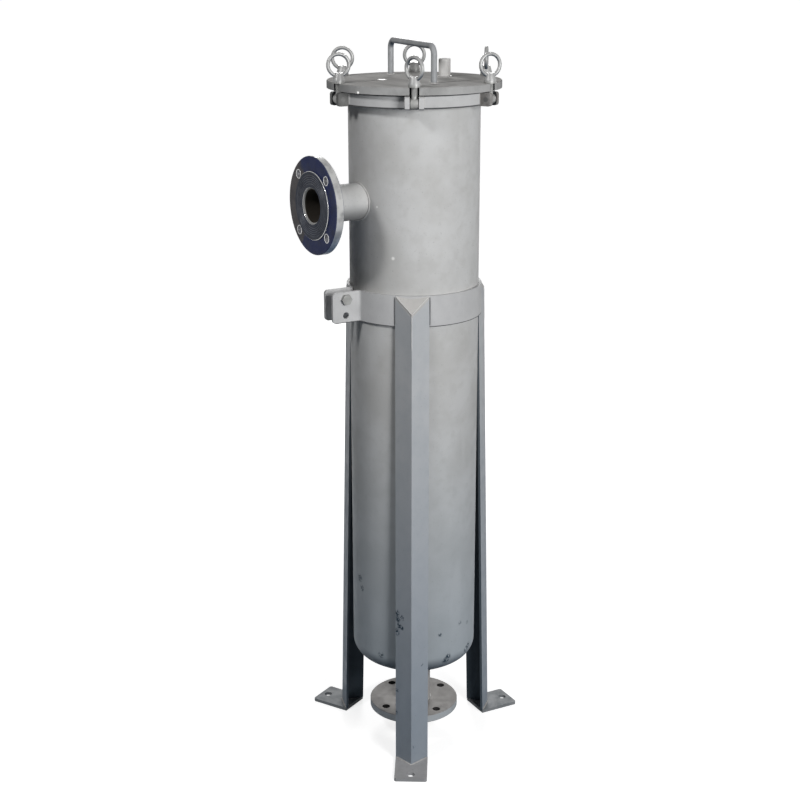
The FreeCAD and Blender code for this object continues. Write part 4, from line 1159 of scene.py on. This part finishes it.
@dataclass
class Vessel:
    """The pressure vessel with its nozzles, lugs and lid."""

    body: str = "vessel"
    slot: str = "blasted_steel"
    pipe_radius: float = 0.03015
    inlet_face: float = 0.1955
    hole_face: float = 0.1935
    hole_circle: float = 0.065
    hole_radius: float = 0.007
    bore_edge: float = 0.03045
    flange_depth: float = 0.016
    pipe_setback: float = 0.003
    outlet_top: float = 0.0565
    head_at_pipe: float = 0.1309
    collar_radius: float = 0.130
    lug_top: float = 1.166
    lug_faces: tuple[float, ...] = (-0.015, 0.015)
    lug_off: float = 0.0004
    lug_inset: float = 0.001
    lid_top: float = 1.180
    handle_direction: float = 82.0
    handle_posts: tuple[float, ...] = (0.0981, -0.0769)
    handle_radius: float = 0.005
    vent_direction: float = 10.0
    vent_reach: float = 0.0676
    vent_radius: float = 0.010
    saddle: Hoop = Hoop(Bead(0.0015), 0.0008)
    flange_back: Hoop = Hoop(Bead(), 0.0004, -0.0003)
    inlet_mouth: Hoop = Hoop(Bead(0.0013, 0.0022), -0.0008, 0.0002)
    head_joint: Hoop = Hoop(Bead(), 0.0006, -0.0006)
    outlet_back: Hoop = Hoop(Bead(0.0015), 0.0004, 0.0003)
    outlet_mouth: Hoop = Hoop(Bead(0.0013, 0.0022), -0.0008, -0.0002)
    collar_joint: Hoop = Hoop(Bead(), 0.0006, -0.0006)
    lug_bead: Bead = Bead(0.0010, 0.0022)
    post_joint: Hoop = Hoop(Bead(0.0017, 0.0028, 0.3), 0.0008)
    vent_joint: Hoop = Hoop(Bead(0.0018), 0.0006)
    hole_edge: Hoop = Hoop(Bead(0.00055, 0.0018, 0.0, 6), 0.0002, -0.0001)
    face_edge: Hoop = Hoop(Bead(0.00055, 0.0018, 0.0, 6), 0.0, -0.0006)

    def dress(self, finishes: Finishes) -> None:
        """Give the vessel's solids their materials, and lay its welds.

        Args:
            finishes: The housing's materials.
        """
        dress(["vessel_shell", "bottom_head"], finishes.shell)
        dress(["inlet_pipe"], finishes.inlet_pipe)
        dress(["outlet_pipe"], finishes.outlet_pipe)
        dress(["closure_collar", *[f"bolt_lug_{number}" for number in (1, 2, 4, 6)]], finishes.collar)
        # bolt_lug_3 wears the dark copy of the lug steel, painted shade.
        dress(["bolt_lug_3"], finishes.painted_shade_lug)
        dress(["bolt_lug_5"], finishes.darker_lug)
        dress(["lid"], finishes.lid)
        dress(["lid_handle"], finishes.bar)
        dress(["vent_socket"], finishes.socket)
        dress(["lug_pins"], finishes.pin)
        dress(["inlet_flange"], finishes.inlet)
        dress(["outlet_flange", "basket_seat"], finishes.outlet)
        dress(["lid_seal"], finishes.rubber)
        self.weld_nozzles(finishes)
        self.weld_closure(finishes)
        self.weld_lid(finishes)
        self.burnish_edges(finishes)

    def weld_nozzles(self, finishes: Finishes) -> None:
        """Lay the beads where the nozzles meet shell, head and flanges.

        Args:
            finishes: The housing's materials.
        """
        mesh = bmesh.new()
        inlet = self.inlet_place()

        def onto_shell(point: Vector) -> Vector:
            """Lay a point of the ring onto the shell's curve."""
            return point + Vector((0.0, 0.0, math.sqrt(SHELL_RADIUS ** 2 - point.y ** 2)))

        self.saddle.lay(mesh, self.pipe_radius, 0.0, inlet, onto_shell)
        self.flange_back.lay(mesh, self.pipe_radius, self.inlet_face - self.flange_depth, inlet)
        self.inlet_mouth.lay(mesh, self.pipe_radius, self.inlet_face - self.pipe_setback, inlet)
        self.head_joint.lay(mesh, self.pipe_radius, self.head_at_pipe)
        self.outlet_back.lay(mesh, self.pipe_radius, self.outlet_top)
        self.outlet_mouth.lay(mesh, self.pipe_radius, self.outlet_top - self.flange_depth + self.pipe_setback)
        finish_piece(mesh, "nozzle_welds", self.body, finishes.weld)

    def inlet_place(self) -> Matrix:
        """The place whose Z axis runs out of the inlet nozzle."""
        return Matrix.Translation(INLET_CENTRE) @ Matrix.Rotation(-math.pi / 2.0, 4, "Y")

    def weld_closure(self, finishes: Finishes) -> None:
        """Lay the beads under the closure collar and beside the lugs.

        Args:
            finishes: The housing's materials.
        """
        mesh = bmesh.new()
        self.collar_joint.lay(mesh, SHELL_RADIUS, COLLAR_LOW)
        for number in range(len(BOLTS)):
            direction = FIRST_BOLT + BOLT_STEP * number
            for across in self.lug_faces:
                along = math.sqrt(self.collar_radius ** 2 - across ** 2)
                aside = across + math.copysign(self.lug_off, across)
                self.lug_bead.line(mesh, at(along, aside, COLLAR_LOW + self.lug_inset, direction),
                                   at(along, aside, self.lug_top - self.lug_inset, direction))
        finish_piece(mesh, "closure_welds", self.body, finishes.weld)

    def weld_lid(self, finishes: Finishes) -> None:
        """Lay the beads round the handle's posts and the vent socket.

        Args:
            finishes: The housing's materials.
        """
        mesh = bmesh.new()
        for along in self.handle_posts:
            post = Matrix.Translation(at(along, 0.0, 0.0, self.handle_direction))
            self.post_joint.lay(mesh, self.handle_radius, self.lid_top, post)
        vent = Matrix.Translation(at(self.vent_reach, 0.0, 0.0, self.vent_direction))
        self.vent_joint.lay(mesh, self.vent_radius, self.lid_top, vent)
        finish_piece(mesh, "lid_welds", self.body, finishes.weld)

    def burnish_edges(self, finishes: Finishes) -> None:
        """Round the worn bright edges of the inlet flange's holes and raised face.

        Args:
            finishes: The housing's materials.
        """
        mesh = bmesh.new()
        inlet = self.inlet_place()
        for number in range(4):
            hole = Matrix.Translation(at(self.hole_circle, 0.0, 0.0, 45.0 + 90.0 * number))
            self.hole_edge.lay(mesh, self.hole_radius, self.hole_face, inlet @ hole)
        for radius in (RAISED_FACE, self.bore_edge):
            self.face_edge.lay(mesh, radius, self.inlet_face, inlet)
        finish_piece(mesh, "inlet_edges", self.body, finishes.burnished)


@dataclass
class Closures:
    """The six swing bolts with their washers and eye nuts."""

    def dress(self, finishes: Finishes) -> None:
        """Give the closures' solids their materials.

        Args:
            finishes: The housing's materials.
        """
        dress([f"swing_bolt_{number}" for number in BOLTS], finishes.threaded)
        dress([f"nut_washer_{number}" for number in BOLTS], finishes.fastener)
        dress([f"eye_nut_{number}" for number in BOLTS], finishes.eye)


@dataclass
class Basket:
    """The basket and the filter bag inside it."""

    body: str = "basket"
    bag_slot: str = "bag_felt"
    bag_radius: float = 0.0833
    bag_wall: float = 0.0018
    bag_low: float = 0.1947
    bag_high: float = 0.9341
    bag_corner: float = 0.012
    bag_hem: float = 0.02
    bulge: float = 0.0006
    slack: float = 0.35
    window_columns: int = 10
    window_pitch: float = 0.060
    window_middle: float = 0.55875
    columns: int = 120
    rows: int = 150
    floor_rings: int = 12
    corner_rows: int = 8
    merge: float = 0.00001

    def dress(self, finishes: Finishes) -> None:
        """Give the basket's solids their materials, and sew the bag.

        Args:
            finishes: The housing's materials.
        """
        dress(["basket_tube", "basket_rim", "basket_floor", "basket_bail"], finishes.basket)
        dress(["bag_ring"], finishes.plastic)
        self.sew_bag(finishes)

    def sew_bag(self, finishes: Finishes) -> None:
        """Sew the felt sleeve with its rounded bottom, pressed a little into the basket's windows.

        Args:
            finishes: The housing's materials.
        """
        mesh = bmesh.new()
        flat = self.bag_radius - self.bag_corner
        start = mesh.verts.new((flat, 0.0, self.bag_low))
        bmesh.ops.spin(mesh, geom=[start], cent=ORIGIN, axis=UP, angle=0.0, steps=self.floor_rings,
                       dvec=(-flat / self.floor_rings, 0, 0), use_merge=False)
        corner = bmesh.ops.spin(mesh, geom=[start], cent=(flat, 0.0, self.bag_low + self.bag_corner),
                                axis=(0, -1, 0), angle=math.pi / 2.0, steps=self.corner_rows,
                                dvec=ORIGIN, use_merge=False)
        wall_foot = [item for item in corner["geom_last"] if isinstance(item, bmesh.types.BMVert)]
        height = self.bag_high - self.bag_low - self.bag_corner
        bmesh.ops.spin(mesh, geom=wall_foot, cent=ORIGIN, axis=UP, angle=0.0, steps=self.rows,
                       dvec=(0, 0, height / self.rows), use_merge=False)
        bmesh.ops.spin(mesh, geom=mesh.verts[:] + mesh.edges[:], cent=ORIGIN, axis=UP,
                       angle=2.0 * math.pi, steps=self.columns, use_merge=True)
        bmesh.ops.remove_doubles(mesh, verts=mesh.verts[:], dist=self.merge)
        for point in mesh.verts:
            self.press(point)
        bmesh.ops.recalc_face_normals(mesh, faces=mesh.faces[:])
        bmesh.ops.solidify(mesh, geom=mesh.faces[:], thickness=self.bag_wall)
        bag = finish_piece(mesh, "felt_bag", self.body, finishes.felt)
        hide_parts("filter_bag")

    def press(self, point: bmesh.types.BMVert) -> None:
        """Press a point of the bag outwards at a window and inwards between the windows.

        Args:
            point: The point to move.
        """
        radius = math.hypot(point.co.x, point.co.y)
        if radius < self.bag_radius - 0.001 or point.co.z > self.bag_high - self.bag_hem:
            return
        angle = math.atan2(point.co.y, point.co.x)
        around = math.cos(angle * self.window_columns)
        upwards = math.cos(2.0 * math.pi * (point.co.z - self.window_middle) / self.window_pitch)
        slack = math.sin(3.0 * angle + 9.0 * point.co.z) * self.slack
        share = (radius + self.bulge * (around * (0.5 + 0.5 * upwards) + slack)) / radius
        point.co.x *= share
        point.co.y *= share


@dataclass(frozen=True)
class Lamp:
    """A soft round light: its bearing is measured to the right of the camera's heading."""

    name: str
    bearing: float
    reach: float
    height: float
    size: float
    power: float
    aim: float = 0.85

    def hang(self, heading: float) -> None:
        """Hang the lamp.

        Args:
            heading: The camera's direction from the vessel's axis, in degrees from +X.
        """
        lamp = bpy.data.lights.new(self.name, "AREA")
        lamp.shape = "DISK"
        lamp.size = self.size
        lamp.energy = self.power
        holder = bpy.data.objects.new(self.name, lamp)
        bpy.context.scene.collection.objects.link(holder)
        holder.location = at(self.reach, 0.0, self.height, heading + self.bearing)
        aim = Vector((0.0, 0.0, self.aim)) - holder.location
        holder.rotation_euler = aim.to_track_quat("-Z", "Y").to_euler()


@dataclass
class Studio:
    """Floor, light and camera."""

    eye: Point = (-1.34703, -2.15570, 1.41051)
    heading: float = 238.0
    yaw: float = -0.55
    pitch: float = 17.07
    roll: float = -0.10
    focal_pixels: float = 1523.82
    frame_pixels: float = 800.0
    sensor: float = 36.0
    floor_size: float = 400.0
    floor_colour: Colour = (0.14, 0.18, 0.23)
    floor_seen: Colour = (0.55, 0.55, 0.55)
    floor_glow: float = 0.78
    glow_from: float = 0.6
    glow_to: float = 2.4
    world_strength: float = 0.03
    lamps: tuple[Lamp, ...] = (
        Lamp("key", 33.0, 2.0, 1.35, 0.9, 36.0),
        Lamp("left_fill", -45.0, 1.6, 2.1, 0.30, 13.0),
        Lamp("back_fill", 180.0, 3.0, 1.9, 1.0, 48.0),
    )

    def build(self) -> None:
        """Build floor, lights and camera."""
        self.lay_floor()
        self.light_world()
        for lamp in self.lamps:
            lamp.hang(self.heading)
        self.set_camera()

    def lay_floor(self) -> None:
        """Lay the pale floor: white to the camera and in reflections, and it keeps the shadow."""
        mesh = bmesh.new()
        bmesh.ops.create_grid(mesh, x_segments=1, y_segments=1, size=self.floor_size / 2.0)
        data = bpy.data.meshes.new("floor")
        mesh.to_mesh(data)
        mesh.free()
        graph = Graph("floor_paint")
        seen = self.seen(graph)
        away = graph.vector("LENGTH", graph.place).outputs["Value"]
        glow = graph.ramp(away, self.glow_from, self.glow_to, self.floor_glow, 1.0)
        graph.surface({"Base Color": graph.mix(seen, self.floor_colour, self.floor_seen), "Roughness": 1.0,
                       "Specular IOR Level": 0.0, "Emission Color": (1.0, 1.0, 1.0),
                       "Emission Strength": graph.math("MULTIPLY", seen, glow)})
        data.materials.append(graph.material)
        floor = bpy.data.objects.new("floor", data)
        bpy.context.scene.collection.objects.link(floor)

    def seen(self, tree: Tree) -> bpy.types.NodeSocket:
        """Tell apart the rays that the floor and the world are white to.

        Args:
            tree: The floor's or the world's tree.

        Returns:
            The share's socket: 1 on rays from the camera and in reflections and glass, 0 on the rest.
        """
        path = tree.add("ShaderNodeLightPath").outputs
        direct = tree.math("MAXIMUM", path["Is Camera Ray"], path["Is Glossy Ray"])
        return tree.math("MAXIMUM", direct, path["Is Transmission Ray"])

    def light_world(self) -> None:
        """Set the world: white where it is seen, and a low even light elsewhere."""
        world = bpy.data.worlds.new("studio")
        bpy.context.scene.world = world
        world.use_nodes = True
        tree = Tree(world.node_tree)
        levels = {"Value": self.seen(tree), "To Min": self.world_strength, "To Max": 1.0}
        back = world.node_tree.nodes["Background"]
        tree.feed(back.inputs["Color"], (1.0, 1.0, 1.0))
        tree.feed(back.inputs["Strength"], tree.add("ShaderNodeMapRange", levels).outputs["Result"])
        bpy.context.scene.view_settings.view_transform = "Standard"

    def set_camera(self) -> None:
        """Set the camera at the photograph's view."""
        yaw, pitch, roll = (math.radians(angle) for angle in (self.yaw, self.pitch, self.roll))
        ahead = Vector((math.sin(yaw) * math.cos(pitch), math.cos(yaw) * math.cos(pitch), -math.sin(pitch)))
        right = Vector((math.cos(yaw), -math.sin(yaw), 0.0))
        up = right.cross(ahead)
        tilted = right * math.cos(roll) + up * math.sin(roll)
        upright = up * math.cos(roll) - right * math.sin(roll)
        turn = turned(self.heading - 270.0).to_3x3()
        columns = Matrix((turn @ tilted, turn @ upright, turn @ -ahead)).transposed()
        camera_data = bpy.data.cameras.new("camera")
        camera_data.sensor_width = self.sensor
        camera_data.lens = self.focal_pixels / self.frame_pixels * self.sensor
        camera = bpy.data.objects.new("camera", camera_data)
        camera.matrix_world = Matrix.Translation(self.eye) @ columns.to_4x4()
        bpy.context.scene.collection.objects.link(camera)
        bpy.context.scene.camera = camera


def main() -> None:
    """Build the finishes, the sub-assemblies and the studio in order."""
    logging.basicConfig(level=logging.INFO, format="%(message)s")
    finishes = Finishes()
    for assembly in (Stand(), Vessel(), Closures(), Basket()):
        assembly.dress(finishes)
    Studio().build()


if __name__ == "__main__":
    main()
